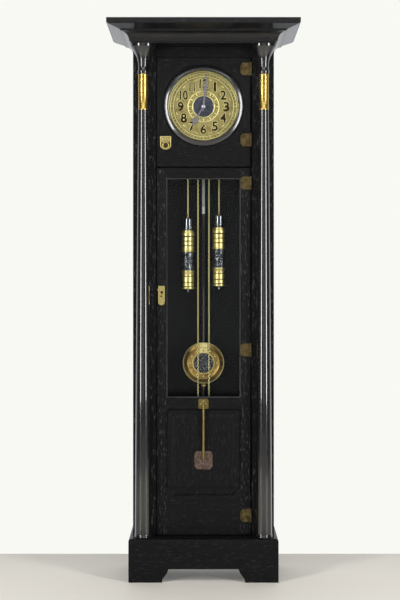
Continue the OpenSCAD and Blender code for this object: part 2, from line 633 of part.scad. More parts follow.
// The anchor spans the escape wheel; its crutch hangs behind the back plate and forks round the leader
crutch_z = pendulum_z - 78;
module anchor() color(steel) place() {
    rod_y(anchor_at, 1.8, plate_front_y + plate_t + gap, plate_back_y - gap);
    rod_y(anchor_at, pivot_r, pivot_front, 108);
    upright(92.5, 2.5) translate(anchor_at) polygon([[0, 5], [-5, 4], [-18, -5], [-20, -12], [-17.2, -13],
        [-15, -7], [-4, -2], [4, -2], [15, -7], [17.2, -13], [20, -12], [18, -5], [5, 4]]);
    slab(-2.5, 2.5, 104, 108, crutch_z, pendulum_z + 3);
    for (x = [-9, 5.5]) slab(x, x + 3.5, 108, pendulum_y + 5, crutch_z, crutch_z + 4);
    slab(-9, 9, 105, 108, crutch_z, crutch_z + 4);
}
module strike_pin_wheel() color(brass) place() {
    arbor(pin_at, pivot_front, pivot_back);
    wheel(pin_at, leaves, great_module, bearing(pin_at, strike_at), 0, 83.5, 3.5, 0.34);
    wheel(pin_at, 36, 0.8, 0, 0, 64, 2, 0.4, 4);
    for (k = [0:7]) rod_y(pin_at + polar(11, k * 45 + 22), 0.9, 61, 64, 24);
}
hammer_head = [-58, 1560];
module hammer() color(steel) place() {
    rod_y(hammer_at, pivot_r, pivot_front, 152);
    rod_y(hammer_at, arbor_r, plate_front_y + plate_t + gap, plate_back_y - gap);
    upright(60.6, 1.4) translate(hammer_at) polygon([[-3, -2], [3, -2], [3, 3], [9, 51], [6.5, 52],
        [-3, 3]]);
    upright(148, 3) polygon([hammer_at + [-3, 3], hammer_at + [3, 3], hammer_head + [1.5, 4],
        hammer_head + [-2, 4]]);
    translate([hammer_head[0] - 6, 150, hammer_head[1]]) rotate([0, 90, 0])
        cylinder(h = 14, r = 6, $fn = 48);
}

// ---- Pendulum ----
leader_z0 = 1326;
rod_low = 700;
module pendulum_leader() color(nickel) place() {
    slab(-5, 5, pendulum_y - 0.15, pendulum_y + 0.15, pendulum_z - 25, pendulum_z);
    slab(-5, 5, pendulum_y - 2, pendulum_y + 2, leader_z0 + 26, pendulum_z - 25);
    translate([0, pendulum_y, leader_z0]) cylinder(h = 26, r = 6, $fn = 48);
}
module pendulum_rod() {
    color("#3a2a22") place() translate([0, pendulum_y, rod_low]) cylinder(h = leader_z0 - rod_low, r = 4,
        $fn = 48);
    color(brass) place() translate([0, pendulum_y, 628]) cylinder(h = rod_low - 628, r = 2, $fn = 32);
}
bob_z = pendulum_z - pendulum_l;
module pendulum_bob() color(brass) place() difference() {
    turned_y([0, bob_z], concat([[0, 110], [34, 110], [37, 108], [42, 108], [44, 110.5], [56, 111.5],
        [59, 108.5], [62, 108.5], [64, 111], [bob_r - 2, 112.5], [bob_r, 114.5], [bob_r, 118.5]],
        [[bob_r - 18, 127], [0, 129]]));
    translate([0, pendulum_y, bob_z - 90]) cylinder(h = 180, r = 4, $fn = 48);
}
nut_z = 686;
module rating_nut() color(brass) place() translate([0, pendulum_y, nut_z]) difference() {
    rotate_extrude($fn = 64) polygon([[0, 0], [8, 0], [9, 1], [9, 6], [8, 7], [0, 7]]);
    translate([0, 0, -1]) cylinder(h = 9, r = 2 + play, $fn = 32);
}

// ---- Weights and chains ----
weight_r = 23.5;
weight_h = 213;
going_weight_z = 1060;
strike_weight_z = 1049;
chain_r = 2.4;
going_tail_z = 432;
strike_tail_z = 421;
chain_offset = sprocket_r;
hook_z = 268;
cap_top = weight_h + 47;
module weight(x, z) translate([x, chain_y, z]) {
    color(brass) rotate_extrude($fn = 96) polygon([[0, -14], [3, -14], [5, -11], [5, -9], [3, -6], [4, -3],
        [weight_r - 3, -3], [weight_r, 0], [weight_r, 9], [weight_r - 1, 10], [weight_r - 1, 54],
        [weight_r, 55], [weight_r, 66], [0, 66]]);
    color(gloss_black) translate([0, 0, 66 + glue_line]) cylinder(h = 68 - 2 * glue_line,
        r = weight_r - 0.8, $fn = 96);
    color(brass) rotate_extrude($fn = 96) polygon([[0, 134], [weight_r, 134], [weight_r, 145],
        [weight_r - 1, 146], [weight_r - 1, 198], [weight_r, 199], [weight_r, weight_h - 2],
        [weight_r - 2, weight_h], [0, weight_h]]);
    color(gloss_black) rotate_extrude($fn = 96) polygon([[0, weight_h + glue_line],
        [17, weight_h + glue_line], [18.5, weight_h + 4], [18.5, weight_h + 44], [16, cap_top], [0, cap_top]]);
    color(brass) translate([0, 0, cap_top + glue_line]) cylinder(h = hook_z - cap_top - glue_line, r = 2,
        $fn = 32);
}
going_x = sprocket_x + chain_offset;
module going_weight() place() weight(going_x, going_weight_z);
module strike_weight() place() weight(-going_x, strike_weight_z);
// A chain run is a straight strand; the weight side also carries the half turn over the sprocket
module strand(x, z0, z1) translate([x, chain_y, z0]) cylinder(h = z1 - z0, r = chain_r, $fn = 32);
module half_turn(at) translate([at[0], chain_y, at[1]]) rotate([90, 0, 0])
    rotate_extrude(angle = 180, $fn = 64) translate([chain_offset, 0]) circle(r = chain_r, $fn = 32);
module tail(x, z0) {
    strand(x, z0 + 10, going_at[1]);
    translate([x, chain_y, z0]) rotate([90, 0, 0]) rotate_extrude($fn = 64) translate([9, 0])
        circle(r = 1.5, $fn = 24);
}
module going_chain() color(brass) place() {
    strand(going_x, going_weight_z + hook_z, going_at[1]);
    half_turn(going_at);
}
module going_chain_tail() color(brass) place() tail(sprocket_x - chain_offset, going_tail_z);
module strike_chain() color(brass) place() {
    strand(-going_x, strike_weight_z + hook_z, strike_at[1]);
    half_turn(strike_at);
}
module strike_chain_tail() color(brass) place() tail(chain_offset - sprocket_x, strike_tail_z);

plinth_boards();
plinth_top();
case_sides();
back_board();
front_stiles();
case_rails();
cornice();
top_board();
columns();
column_sleeves();
capitals();
seatboard();
gong_block();
gong();
case_hinge_leaves();
front_plate();
back_plate();
plate_pillars();
dial();
suspension_cock();
hood_door();
hood_ring();
hood_glass();
hood_hinge_leaves();
hood_pull_plate();
hood_pull();
trunk_door();
trunk_glass();
glass_beads();
trunk_panel();
door_plaques();
ornament_rod();
trunk_hinge_leaves();
keyhole_plate();
trunk_pull();
minute_hand();
centre_wheel();
hand_nut();
hour_hand();
minute_wheel();
going_sprocket();
going_great_wheel();
intermediate_wheel();
third_wheel();
escape_wheel();
anchor();
strike_sprocket();
strike_great_wheel();
strike_pin_wheel();
hammer();
pendulum_leader();
pendulum_rod();
pendulum_bob();
rating_nut();
going_weight();
strike_weight();
going_chain();
going_chain_tail();
strike_chain();
strike_chain_tail();
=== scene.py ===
import bmesh
import bpy
import numpy as np
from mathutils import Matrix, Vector


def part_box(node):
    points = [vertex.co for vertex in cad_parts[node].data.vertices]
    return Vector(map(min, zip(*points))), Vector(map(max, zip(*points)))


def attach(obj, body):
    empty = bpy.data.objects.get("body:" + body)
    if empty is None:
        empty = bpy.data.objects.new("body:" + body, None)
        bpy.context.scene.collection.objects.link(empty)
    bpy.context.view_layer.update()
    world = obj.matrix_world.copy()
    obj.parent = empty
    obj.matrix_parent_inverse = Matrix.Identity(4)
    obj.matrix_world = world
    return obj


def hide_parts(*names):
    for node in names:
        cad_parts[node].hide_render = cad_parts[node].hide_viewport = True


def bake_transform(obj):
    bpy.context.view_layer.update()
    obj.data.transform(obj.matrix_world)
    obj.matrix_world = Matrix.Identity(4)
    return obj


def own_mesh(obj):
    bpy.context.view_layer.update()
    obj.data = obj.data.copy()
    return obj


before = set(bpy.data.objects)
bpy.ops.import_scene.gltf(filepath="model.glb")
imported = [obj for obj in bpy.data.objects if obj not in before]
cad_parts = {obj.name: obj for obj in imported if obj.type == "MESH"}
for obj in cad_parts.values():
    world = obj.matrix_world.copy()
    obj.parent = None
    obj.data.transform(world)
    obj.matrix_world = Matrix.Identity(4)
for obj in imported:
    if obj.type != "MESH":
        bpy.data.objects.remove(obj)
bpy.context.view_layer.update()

mm = 0.001
print("frame loaded:", len(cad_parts), "nodes")


def lowHigh(nodeName):
    # The two corners of a node's box, as arrays
    low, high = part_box(nodeName)
    return np.array(low), np.array(high)


def middle(nodeName):
    low, high = lowHigh(nodeName)
    return (low + high) / 2


def hexColour(code):
    # sRGB hex to the linear values that the shaders want, with a full alpha
    channels = np.array([int(code[i:i + 2], 16) for i in (1, 3, 5)]) / 255
    linear = np.where(channels <= 0.04045, channels / 12.92, ((channels + 0.055) / 1.055) ** 2.4)
    return (*linear.tolist(), 1.0)


def feed(tree, node, inputs):
    # Sets inputs of a node, by name or number, to a value, a socket or the first live output of another node
    for name, value in inputs.items():
        if isinstance(value, bpy.types.Node):
            value = next(socket for socket in value.outputs if socket.enabled)
        if isinstance(value, bpy.types.NodeSocket):
            tree.links.new(value, node.inputs[name])
        else:
            node.inputs[name].default_value = value


def add(tree, kind, inputs=(), **settings):
    # One node with its settings and its links; inputs are named, or stand in the node's own order
    made = tree.nodes.new("ShaderNode" + kind)
    for name, value in settings.items():
        setattr(made, name, value)
    feed(tree, made, inputs if isinstance(inputs, dict) else dict(enumerate(inputs)))
    return made


def newMaterial(name, shaderValues):
    # An empty material with one Principled shader whose plain values are set on its own sockets
    material = bpy.data.materials.new(name)
    material.use_nodes = True
    tree = material.node_tree
    tree.nodes.clear()
    shader = add(tree, "BsdfPrincipled", shaderValues)
    add(tree, "OutputMaterial", {"Surface": shader})
    return material, tree, shader


def unevenness(tree, vector, sizes, detail, shift=0.0):
    # Noise whose cells are sizes metres across in x, y and z
    place = add(tree, "Mapping", {"Vector": vector, "Location": (shift, shift, shift),
                                  "Scale": tuple(1 / size for size in sizes)})
    return add(tree, "TexNoise", {"Vector": place, "Scale": 1.0, "Detail": detail, "Roughness": 0.55})


def streaks(tree, vector, sizes, grain, detail, shift):
    # Noise of streaks that are sizes[0] wide and sizes[1] long, with their length along the grain's axis
    drawn = tuple(sizes[1] if axis == grain else sizes[0] for axis in "xyz")
    return unevenness(tree, vector, drawn, detail, shift)


oak = {
    "deep": "#0a0a0b",       # stain lying in the pores
    "face": "#0e0e0f",       # stained face of the board
    "streak": "#171719",     # fibres that took less stain
    "fleck": "#2b2b2d",      # rays of the quartered oak, which take less stain
    "liveFleck": "#545458",          # rays of the best boards, on the stiles
    "fibre": (1.6 * mm, 60 * mm),    # width and length of the fibre streaks
    "tone": (14 * mm, 240 * mm),     # slow changes from one part of a board to the next
    "pore": (0.9 * mm, 11 * mm),     # drawn wider than the real 0.3 mm so that they show
    "ray": (5 * mm, 20 * mm),        # width and length of the ray flecks
    "fleckShare": 0.7,               # how far a ray's colour covers the face
    "gloss": (0.26, 0.46),           # roughness from the burnished face to the open pores
    "edge": 0.9 * mm,                # rounding of the boards' edges
    "bump": 0.6, "depth": 0.25 * mm,
    "ior": 1.45, "specular": 0.12, "coatRoughness": 0.1,
}


def oakGrain(tree, vector, grain, shift, fleck):
    # Colour, roughness and height of ebonised oak whose grain runs along one axis
    fibre = streaks(tree, vector, oak["fibre"], grain, 4.0, shift)
    broad = streaks(tree, vector, oak["tone"], grain, 2.0, shift + 3)
    ray = streaks(tree, vector, oak["ray"], grain, 2.0, shift + 7)
    pore = streaks(tree, vector, oak["pore"], grain, 2.0, shift + 11)
    ray = add(tree, "MapRange", (ray, 0.57, 0.68, 0.0, oak["fleckShare"]))
    pore = add(tree, "MapRange", (pore, 0.36, 0.46, 1.0, 0.0))
    tone = add(tree, "Math", (add(tree, "MapRange", (fibre, 0.35, 0.7, 0.0, 1.0)),
                              add(tree, "MapRange", (broad, 0.3, 0.7, 0.35, 1.0))), operation="MULTIPLY")
    colour = hexColour(oak["face"])
    for share, code in ((tone, oak["streak"]), (ray, fleck), (pore, oak["deep"])):
        colour = add(tree, "Mix", {0: share, 6: colour, 7: hexColour(code)}, data_type="RGBA")
    worn = add(tree, "Math", (pore, add(tree, "Math", (fibre, 0.6), operation="MULTIPLY")),
               operation="MAXIMUM")
    rough = add(tree, "Mix", {0: worn, 2: oak["gloss"][0], 3: oak["gloss"][1]})
    height = add(tree, "Math", (add(tree, "Math", (fibre, 0.5), operation="MULTIPLY"), pore),
                 operation="SUBTRACT")
    return colour, rough, height


def ebonisedOak(name, grain, shift, split=None, fleck=oak["fleck"], coat=0.0):
    # Black stained oak under wax: a dark face with open pores that break its shine, and paler rays.
    # Where split gives a mask, the boards inside it have their grain along x instead
    material, tree, shader = newMaterial(name, {
        "IOR": oak["ior"], "Specular IOR Level": oak["specular"], "Coat Weight": coat,
        "Coat Roughness": oak["coatRoughness"]})
    vector = add(tree, "TexCoord").outputs["Object"]
    colour, rough, height = oakGrain(tree, vector, grain, shift, fleck)
    if split:
        mask = split(tree, add(tree, "SeparateXYZ", {"Vector": vector}))
        across = oakGrain(tree, vector, "x", shift + 17, oak["fleck"])
        colour = add(tree, "Mix", {0: mask, 6: colour, 7: across[0]}, data_type="RGBA")
        rough = add(tree, "Mix", {0: mask, 2: rough, 3: across[1]})
        height = add(tree, "Mix", {0: mask, 2: height, 3: across[2]})
    soft = add(tree, "Bevel", {"Radius": oak["edge"]}, samples=4)
    bump = add(tree, "Bump", {"Height": height, "Strength": oak["bump"], "Distance": oak["depth"],
                              "Normal": soft})
    feed(tree, shader, {"Base Color": colour, "Roughness": rough, "Normal": bump})
    return material


def trunkRails(tree, xyz):
    # 1 on the rails of the trunk door, which lie between its stiles
    stile = 37 * mm
    half = lowHigh("trunk_door")[1][0] - stile
    return add(tree, "Math", (add(tree, "Math", (xyz.outputs["X"],), operation="ABSOLUTE"), half),
               operation="LESS_THAN")


def hoodFacets(tree, xyz):
    # 1 on the upper and lower boards of the mitred field and on the rail under it
    low, high = lowHigh("hood_door")
    rail = 67 * mm
    fieldLow = float(low[2] + rail)
    centre = float(low[2] + rail + high[2]) / 2
    mitre = float(high[0] - (high[2] - centre))
    up = add(tree, "Math", (xyz.outputs["Z"], centre), operation="SUBTRACT")
    up = add(tree, "Math", (up,), operation="ABSOLUTE")
    side = add(tree, "Math", (xyz.outputs["X"],), operation="ABSOLUTE")
    lengthways = add(tree, "Math", (add(tree, "Math", (up, mitre), operation="ADD"), side),
                     operation="GREATER_THAN")
    onRail = add(tree, "Math", (xyz.outputs["Z"], fieldLow), operation="LESS_THAN")
    return add(tree, "Math", (lengthways, onRail), operation="MAXIMUM")


polish = {
    "deep": "#0b0b0c", "streak": "#17171a",
    "ripple": (5 * mm, 180 * mm), "fibre": (1.2 * mm, 40 * mm),    # width and length along the grain
    "ior": 1.5, "bump": 0.1, "depth": 0.3 * mm,
}


def blackPolish(name, grain="z", shift=0.0, coat=(1.0, 0.04), rough=(0.12, 0.24)):
    # Turned beech under many coats of black shellac: almost a mirror, with faint long ripples of the wood
    material, tree, shader = newMaterial(name, {"IOR": polish["ior"], "Coat Weight": coat[0],
                                                "Coat Roughness": coat[1]})
    vector = add(tree, "TexCoord").outputs["Object"]
    ripple = streaks(tree, vector, polish["ripple"], grain, 3.0, shift)
    fibre = streaks(tree, vector, polish["fibre"], grain, 3.0, shift + 5)
    colour = add(tree, "Mix", {0: add(tree, "MapRange", (fibre, 0.4, 0.75, 0.0, 1.0)),
                               6: hexColour(polish["deep"]), 7: hexColour(polish["streak"])},
                 data_type="RGBA")
    bump = add(tree, "Bump", {"Height": ripple, "Strength": polish["bump"], "Distance": polish["depth"]})
    feed(tree, shader, {"Base Color": colour, "Roughness": add(tree, "MapRange", (fibre, 0.3, 0.7, *rough)),
                        "Normal": bump})
    return material


wear = {"scratch": (0.5 * mm, 14 * mm), "softEdge": 0.4 * mm, "depth": 0.12 * mm, "gritShare": 0.35,
        "tarnishSpan": 0.22, "tarnishRough": 0.22, "scratchRough": 0.1}


def metal(name, settings):
    # Solid metal: a base tone, tarnish in soft clouds, fine wear scratches and a slightly uneven surface
    material, tree, shader = newMaterial(name, {"Metallic": 1.0})
    vector = add(tree, "TexCoord").outputs["Object"]
    cloud = unevenness(tree, vector, (settings["cloud"],) * 3, 4.0)
    fine = unevenness(tree, vector, (settings["grit"],) * 3, 3.0, 2.0)
    scratch = streaks(tree, vector, wear["scratch"], settings.get("brush", "z"), 2.0, 5.0)
    start, dull, rough = settings["tarnishFrom"], hexColour(settings["dull"]), settings["rough"]
    tarnish = add(tree, "MapRange", (cloud, start, start + wear["tarnishSpan"], 0.0, settings["tarnish"]))
    grit = add(tree, "MapRange", (fine, 0.5, 0.75, 0.0, wear["gritShare"]))
    colour = add(tree, "Mix", {0: tarnish, 6: hexColour(settings["bright"]), 7: dull}, data_type="RGBA")
    colour = add(tree, "Mix", {0: grit, 6: colour, 7: dull}, data_type="RGBA")
    if "frontColourFrom" in settings:    # what stands further forward than this y takes the front colour: a painted highlight on the dial rings and chain links, rubbed wear on the pull plate's rim
        y = add(tree, "SeparateXYZ", {"Vector": vector}).outputs["Y"]
        raised = add(tree, "Math", (y, settings["frontColourFrom"]), operation="LESS_THAN")
        colour = add(tree, "Mix", {0: raised, 6: colour, 7: hexColour(settings["frontColour"])}, data_type="RGBA")
    film = add(tree, "Math", (tarnish, wear["tarnishRough"]), operation="MULTIPLY")
    lines = add(tree, "MapRange", (scratch, 0.3, 0.7, rough, rough + wear["scratchRough"]))
    height = add(tree, "Math", (add(tree, "Math", (scratch, 0.3), operation="MULTIPLY"), fine),
                 operation="ADD")
    bump = add(tree, "Bump", {"Height": height, "Strength": settings["bump"], "Distance": wear["depth"]})
    edge = settings.get("edge", wear["softEdge"])
    if edge:    # turned pieces have their own rounded edges
        feed(tree, bump, {"Normal": add(tree, "Bevel", {"Radius": edge}, samples=4)})
    feed(tree, shader, {"Base Color": colour, "Normal": bump,
                        "Roughness": add(tree, "Math", (film, lines), operation="ADD")})
    return material


pane = {"tint": "#fafcfb", "wave": (60 * mm, 60 * mm, 90 * mm), "bump": 0.15, "depth": 0.4 * mm,
        "roughness": 0.03, "ior": 1.22}    # a lower IOR than glass has, so that its mirror stays faint


def clearGlass(name):
    # Old window glass: clear, with the faint mirror of a polished pane; light passes on to what is inside
    material = bpy.data.materials.new(name)
    material.use_nodes = True
    tree = material.node_tree
    tree.nodes.clear()
    wave = unevenness(tree, add(tree, "TexCoord").outputs["Object"], pane["wave"], 2.0)
    bump = add(tree, "Bump", {"Height": wave, "Strength": pane["bump"], "Distance": pane["depth"]})
    clear = add(tree, "BsdfTransparent", {"Color": hexColour(pane["tint"])})
    mirror = add(tree, "BsdfGlossy", {"Roughness": pane["roughness"], "Normal": bump})
    fresnel = add(tree, "Fresnel", {"IOR": pane["ior"], "Normal": bump})
    add(tree, "OutputMaterial", {"Surface": add(tree, "MixShader", (fresnel, clear, mirror))})
    return material


metals = {
    # Drawn brass tube of the weights: satin, so that it is light right round to its edges
    "satinBrass": {"bright": "#dccc88", "dull": "#94844c", "cloud": 40 * mm, "grit": 1.5 * mm,
                   "tarnishFrom": 0.5, "tarnish": 0.4, "rough": 0.34, "bump": 0.1},
    # Black nickel of the weight caps: a dark mirror with hard white lights
    "blackNickel": {"bright": "#737479", "dull": "#46474b", "cloud": 30 * mm, "grit": 0.8 * mm,
                    "tarnishFrom": 0.5, "tarnish": 0.3, "rough": 0.12, "bump": 0.05},
    # Brass bronzed with age, of the rod and the square plaque: olive brown, gold only in its lights
    "bronzedBrass": {"bright": "#8b7b4a", "dull": "#5a4d30", "cloud": 16 * mm, "grit": 1.0 * mm,
                     "tarnishFrom": 0.45, "tarnish": 0.6, "rough": 0.3, "bump": 0.2},
    # Polished brass of the column sleeves: warm and bright, with a little tarnish
    "polishedBrass": {"bright": "#c8aa5e", "dull": "#7e6a34", "cloud": 40 * mm, "grit": 1.5 * mm,
                      "tarnishFrom": 0.5, "tarnish": 0.45, "rough": 0.2, "bump": 0.03, "edge": 0},
    # Pressed dial brass: matt and greenish from old lacquer; the crests of its raised rings are painted
    # near-white as their highlight
    "dialBrass": {"bright": "#bbaa70", "dull": "#857440", "cloud": 30 * mm, "grit": 0.9 * mm,
                  "tarnishFrom": 0.42, "tarnish": 0.7, "rough": 0.38, "bump": 0.25, "brush": "x",
                  "frontColourFrom": -4.35 * mm, "frontColour": "#fff2ae"},
    # Raised parts of the dial, the numerals' edges and the bob: near-white, a painted highlight over their
    # brass
    "highlightDialBrass": {"bright": "#fff0ae", "dull": "#c4b06a", "cloud": 20 * mm, "grit": 0.8 * mm,
                        "tarnishFrom": 0.5, "tarnish": 0.4, "rough": 0.4, "bump": 0.15},
    # Dark brown of the numerals' bodies, which stand in front of their brass edges
    "numeralBrown": {"bright": "#3a2a18", "dull": "#1a120b", "cloud": 8 * mm, "grit": 0.8 * mm,
                    "tarnishFrom": 0.45, "tarnish": 0.6, "rough": 0.4, "bump": 0.2},
    # Drawn brass wire of the chains: the front half of each link is painted near-white as its highlight and
    # the back half dark brown as its shade, which shows the twist
    "chainBrass": {"bright": "#544a26", "dull": "#332c17", "cloud": 30 * mm, "grit": 0.6 * mm,
                   "tarnishFrom": 0.5, "tarnish": 0.4, "rough": 0.26, "bump": 0.05, "edge": 0.1 * mm,
                   "frontColourFrom": float(middle("going_chain")[1]) - 0.2 * mm, "frontColour": "#fff2b0"},
    # Spun brass of the bob, browned in soft clouds
    "bobBrass": {"bright": "#c09e58", "dull": "#6a512d", "cloud": 34 * mm, "grit": 0.9 * mm,
                 "tarnishFrom": 0.42, "tarnish": 0.7, "rough": 0.26, "bump": 0.1},
    # The hood's pull plate: dark in its let-in ground, rubbed bright on its rim
    "rimmedBrass": {"bright": "#57492a", "dull": "#33291a", "cloud": 8 * mm, "grit": 0.8 * mm,
                    "tarnishFrom": 0.45, "tarnish": 0.6, "rough": 0.36, "bump": 0.2,
                    "frontColourFrom": float(lowHigh("hood_pull_plate")[1][1]) - 1.5 * mm, "frontColour": "#dccd8a"},
    # Bright brass of the pulls, their plates and the chevron, handled clean
    "fittingBrass": {"bright": "#d6c682", "dull": "#92834a", "cloud": 12 * mm, "grit": 1.0 * mm,
                     "tarnishFrom": 0.5, "tarnish": 0.4, "rough": 0.24, "bump": 0.15},
    # Aged brass of the hinges: brown film in clouds, edges softly rounded
    "agedBrass": {"bright": "#685b3b", "dull": "#3a3121", "cloud": 14 * mm, "grit": 1.0 * mm,
                  "tarnishFrom": 0.42, "tarnish": 0.8, "rough": 0.36, "bump": 0.3, "edge": 0.7 * mm},
    # Cut clock brass of plates and wheels
    "clockBrass": {"bright": "#cfaa58", "dull": "#8f7338", "cloud": 25 * mm, "grit": 0.8 * mm,
                   "tarnishFrom": 0.5, "tarnish": 0.4, "rough": 0.28, "bump": 0.1},
    # Patinated copper of the lower plaque: chocolate brown, reddish where thin
    "brownCopper": {"bright": "#74635a", "dull": "#45362f", "cloud": 9 * mm, "grit": 0.9 * mm,
                    "tarnishFrom": 0.4, "tarnish": 0.7, "rough": 0.4, "bump": 0.3},
    # Dark red bronze of the narrow rings
    "redBronze": {"bright": "#6e3a22", "dull": "#38190f", "cloud": 8 * mm, "grit": 0.8 * mm,
                  "tarnishFrom": 0.45, "tarnish": 0.6, "rough": 0.28, "bump": 0.1},
    # Bright steel of arbors, gong and nut
    "brightSteel": {"bright": "#c9cbcf", "dull": "#85878c", "cloud": 20 * mm, "grit": 0.8 * mm,
                    "tarnishFrom": 0.55, "tarnish": 0.3, "rough": 0.22, "bump": 0.1},
    # Steel of the hands, blued long ago and worn to a pale grey-violet
    "wornSteel": {"bright": "#9c939e", "dull": "#665f6b", "cloud": 14 * mm, "grit": 0.7 * mm,
                  "tarnishFrom": 0.5, "tarnish": 0.5, "rough": 0.34, "bump": 0.1},
    # Heat-blued steel of the dial's centre, gone grey-violet
    "bluedSteel": {"bright": "#5a5a68", "dull": "#34343f", "cloud": 18 * mm, "grit": 0.7 * mm,
                   "tarnishFrom": 0.45, "tarnish": 0.6, "rough": 0.26, "bump": 0.1},
    # Nickelled steel of the pendulum's leader: grey and satin
    "dullNickel": {"bright": "#a7a8aa", "dull": "#6c6d70", "cloud": 16 * mm, "grit": 0.9 * mm,
                   "tarnishFrom": 0.5, "tarnish": 0.4, "rough": 0.3, "bump": 0.1},
    # Blackened hammered copper of the weight sleeves and the bob's centre, with silver patches in random
    # clouds painted as the glints of its hammer facets
    "hammeredBlack": {"bright": "#c2c5cd", "dull": "#121214", "cloud": 3.4 * mm, "grit": 1.1 * mm,
                      "tarnishFrom": 0.29, "tarnish": 1.0, "rough": 0.2, "bump": 0.5},
}
finish = {name: metal(name, settings) for name, settings in metals.items()}
finish["uprightOak"] = ebonisedOak("uprightOak", "z", 0.0, fleck=oak["liveFleck"])
finish["acrossOak"] = ebonisedOak("acrossOak", "x", 20.0)
finish["corniceOak"] = ebonisedOak("corniceOak", "x", 30.0, coat=0.6)
finish["panelOak"] = ebonisedOak("panelOak", "z", 10.0)
finish["backOak"] = ebonisedOak("backOak", "z", 40.0)
finish["trunkDoorOak"] = ebonisedOak("trunkDoorOak", "z", 60.0, trunkRails, oak["liveFleck"])
finish["hoodDoorOak"] = ebonisedOak("hoodDoorOak", "z", 80.0, hoodFacets)
finish["blackPolish"] = blackPolish("blackPolish")
finish["ringPolish"] = blackPolish("ringPolish", "x", 30.0, (1.0, 0.14), (0.2, 0.3))
finish["rodPolish"] = blackPolish("rodPolish", "z", 50.0, (0.4, 0.2), (0.3, 0.4))
finish["glass"] = clearGlass("clearGlass")
print("materials made:", len(finish))

nodesOf = {
    "uprightOak": ["front_stiles"], "panelOak": ["case_sides", "trunk_panel"],
    "corniceOak": ["cornice"],
    "acrossOak": ["plinth_boards", "plinth_top", "case_rails", "top_board", "seatboard", "gong_block",
                  "glass_beads"],
    "backOak": ["back_board"], "trunkDoorOak": ["trunk_door"], "hoodDoorOak": ["hood_door"],
    "blackPolish": ["columns", "capitals"], "ringPolish": ["hood_ring"], "rodPolish": ["pendulum_rod"],
    "glass": ["hood_glass", "trunk_glass"],
    "polishedBrass": ["column_sleeves"], "bronzedBrass": ["ornament_rod"],
    "dialBrass": ["dial"],
    "fittingBrass": ["hood_pull_plate", "hood_pull", "keyhole_plate", "trunk_pull"],
    "agedBrass": ["case_hinge_leaves", "hood_hinge_leaves", "trunk_hinge_leaves"],
    "clockBrass": ["front_plate", "back_plate", "suspension_cock", "centre_wheel", "minute_wheel",
                   "going_sprocket", "going_great_wheel", "intermediate_wheel", "third_wheel", "escape_wheel",
                   "strike_sprocket", "strike_great_wheel", "strike_pin_wheel", "rating_nut",
                   "pendulum_bob", "going_weight", "strike_weight", "going_chain", "going_chain_tail",
                   "strike_chain", "strike_chain_tail", "door_plaques"],
    "brightSteel": ["plate_pillars", "gong", "anchor", "hammer", "hand_nut"],
    "wornSteel": ["minute_hand", "hour_hand"], "dullNickel": ["pendulum_leader"],
}
for finishName, nodeNames in nodesOf.items():
    for nodeName in nodeNames:
        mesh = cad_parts[nodeName].data
        mesh.materials.clear()
        mesh.materials.append(finish[finishName])
print("CAD nodes finished")


def gridMesh(name, grids, sharpAngle=40):
    # One mesh from grids of points in metres, each shaped (count, rows, columns, 3) with whether its rows and
    # its columns close: quads join neighbours, and points that coincide at poles and seams become one
    vertices, quads, start = [], [], 0
    for points, wrapRows, wrapColumns in grids:
        points = points.reshape((-1,) + points.shape[-3:])
        count, rows, columns, _ = points.shape
        i, j = np.meshgrid(np.arange(rows - (not wrapRows)), np.arange(columns - (not wrapColumns)),
                           indexing="ij")
        below, right = (i + 1) % rows, (j + 1) % columns
        quad = np.stack([i * columns + j, below * columns + j, below * columns + right,
                         i * columns + right], -1).reshape(-1, 4)
        quads.append((start + np.arange(count)[:, None, None] * rows * columns + quad).reshape(-1, 4))
        vertices.append(points.reshape(-1, 3))
        start += count * rows * columns
    mesh = bpy.data.meshes.new(name)
    mesh.from_pydata(np.concatenate(vertices).tolist(), [], np.concatenate(quads).tolist())
    worked = bmesh.new()
    worked.from_mesh(mesh)
    bmesh.ops.remove_doubles(worked, verts=worked.verts, dist=1e-6)
    bmesh.ops.recalc_face_normals(worked, faces=worked.faces)
    worked.to_mesh(mesh)
    worked.free()
    mesh.shade_smooth()
    mesh.set_sharp_from_angle(angle=np.radians(sharpAngle))
    return mesh


def placePiece(mesh, finishName, nodes=()):
    # Shows a mesh as a piece with its finish, in place of the CAD nodes that it stands for
    mesh.materials.clear()
    mesh.materials.append(finish[finishName])
    piece = bpy.data.objects.new(mesh.name, mesh)
    bpy.context.scene.collection.objects.link(piece)
    if nodes:
        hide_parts(*nodes)
    return piece


def addPiece(name, grids, finishName, body, nodes=()):
    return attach(placePiece(gridMesh(name, grids), finishName, nodes), body)


def turned(profile, at, axis="z", steps=96):
    # A profile of (radius, height) in mm swept round an axis through at: the point at angle a is the radius
    # times (cos a, sin a) in the plane across the axis, and the height along it
    radius, height = np.array(profile, float).T[:, :, None] * mm
    angle = np.linspace(0, 2 * np.pi, steps, endpoint=False)[None, :]
    first, second = radius * np.cos(angle), radius * np.sin(angle)
    level = height + 0 * angle
    parts = (first, second, level) if axis == "z" else (first, level, second)
    return np.stack(parts, -1)[None] + np.array(at), False, True


def studs(centres, across, up, deep, turn=0.0, rows=9, columns=14):
    # Ellipsoids at many centres: half axes across and up in the face of the piece and deep along y, in mm,
    # each turned about y by its own angle
    v = np.linspace(-np.pi / 2, np.pi / 2, rows)[:, None]
    u = np.linspace(0, 2 * np.pi, columns, endpoint=False)[None, :]
    x, z, y = across * np.cos(v) * np.cos(u), up * np.cos(v) * np.sin(u), deep * np.sin(v) + 0 * u
    turn = np.broadcast_to(turn, len(centres))[:, None, None]
    spun = np.stack([x * np.cos(turn) + z * np.sin(turn), y + 0 * turn,
                     z * np.cos(turn) - x * np.sin(turn)], -1)
    return spun * mm + np.array(centres)[:, None, None, :], False, True


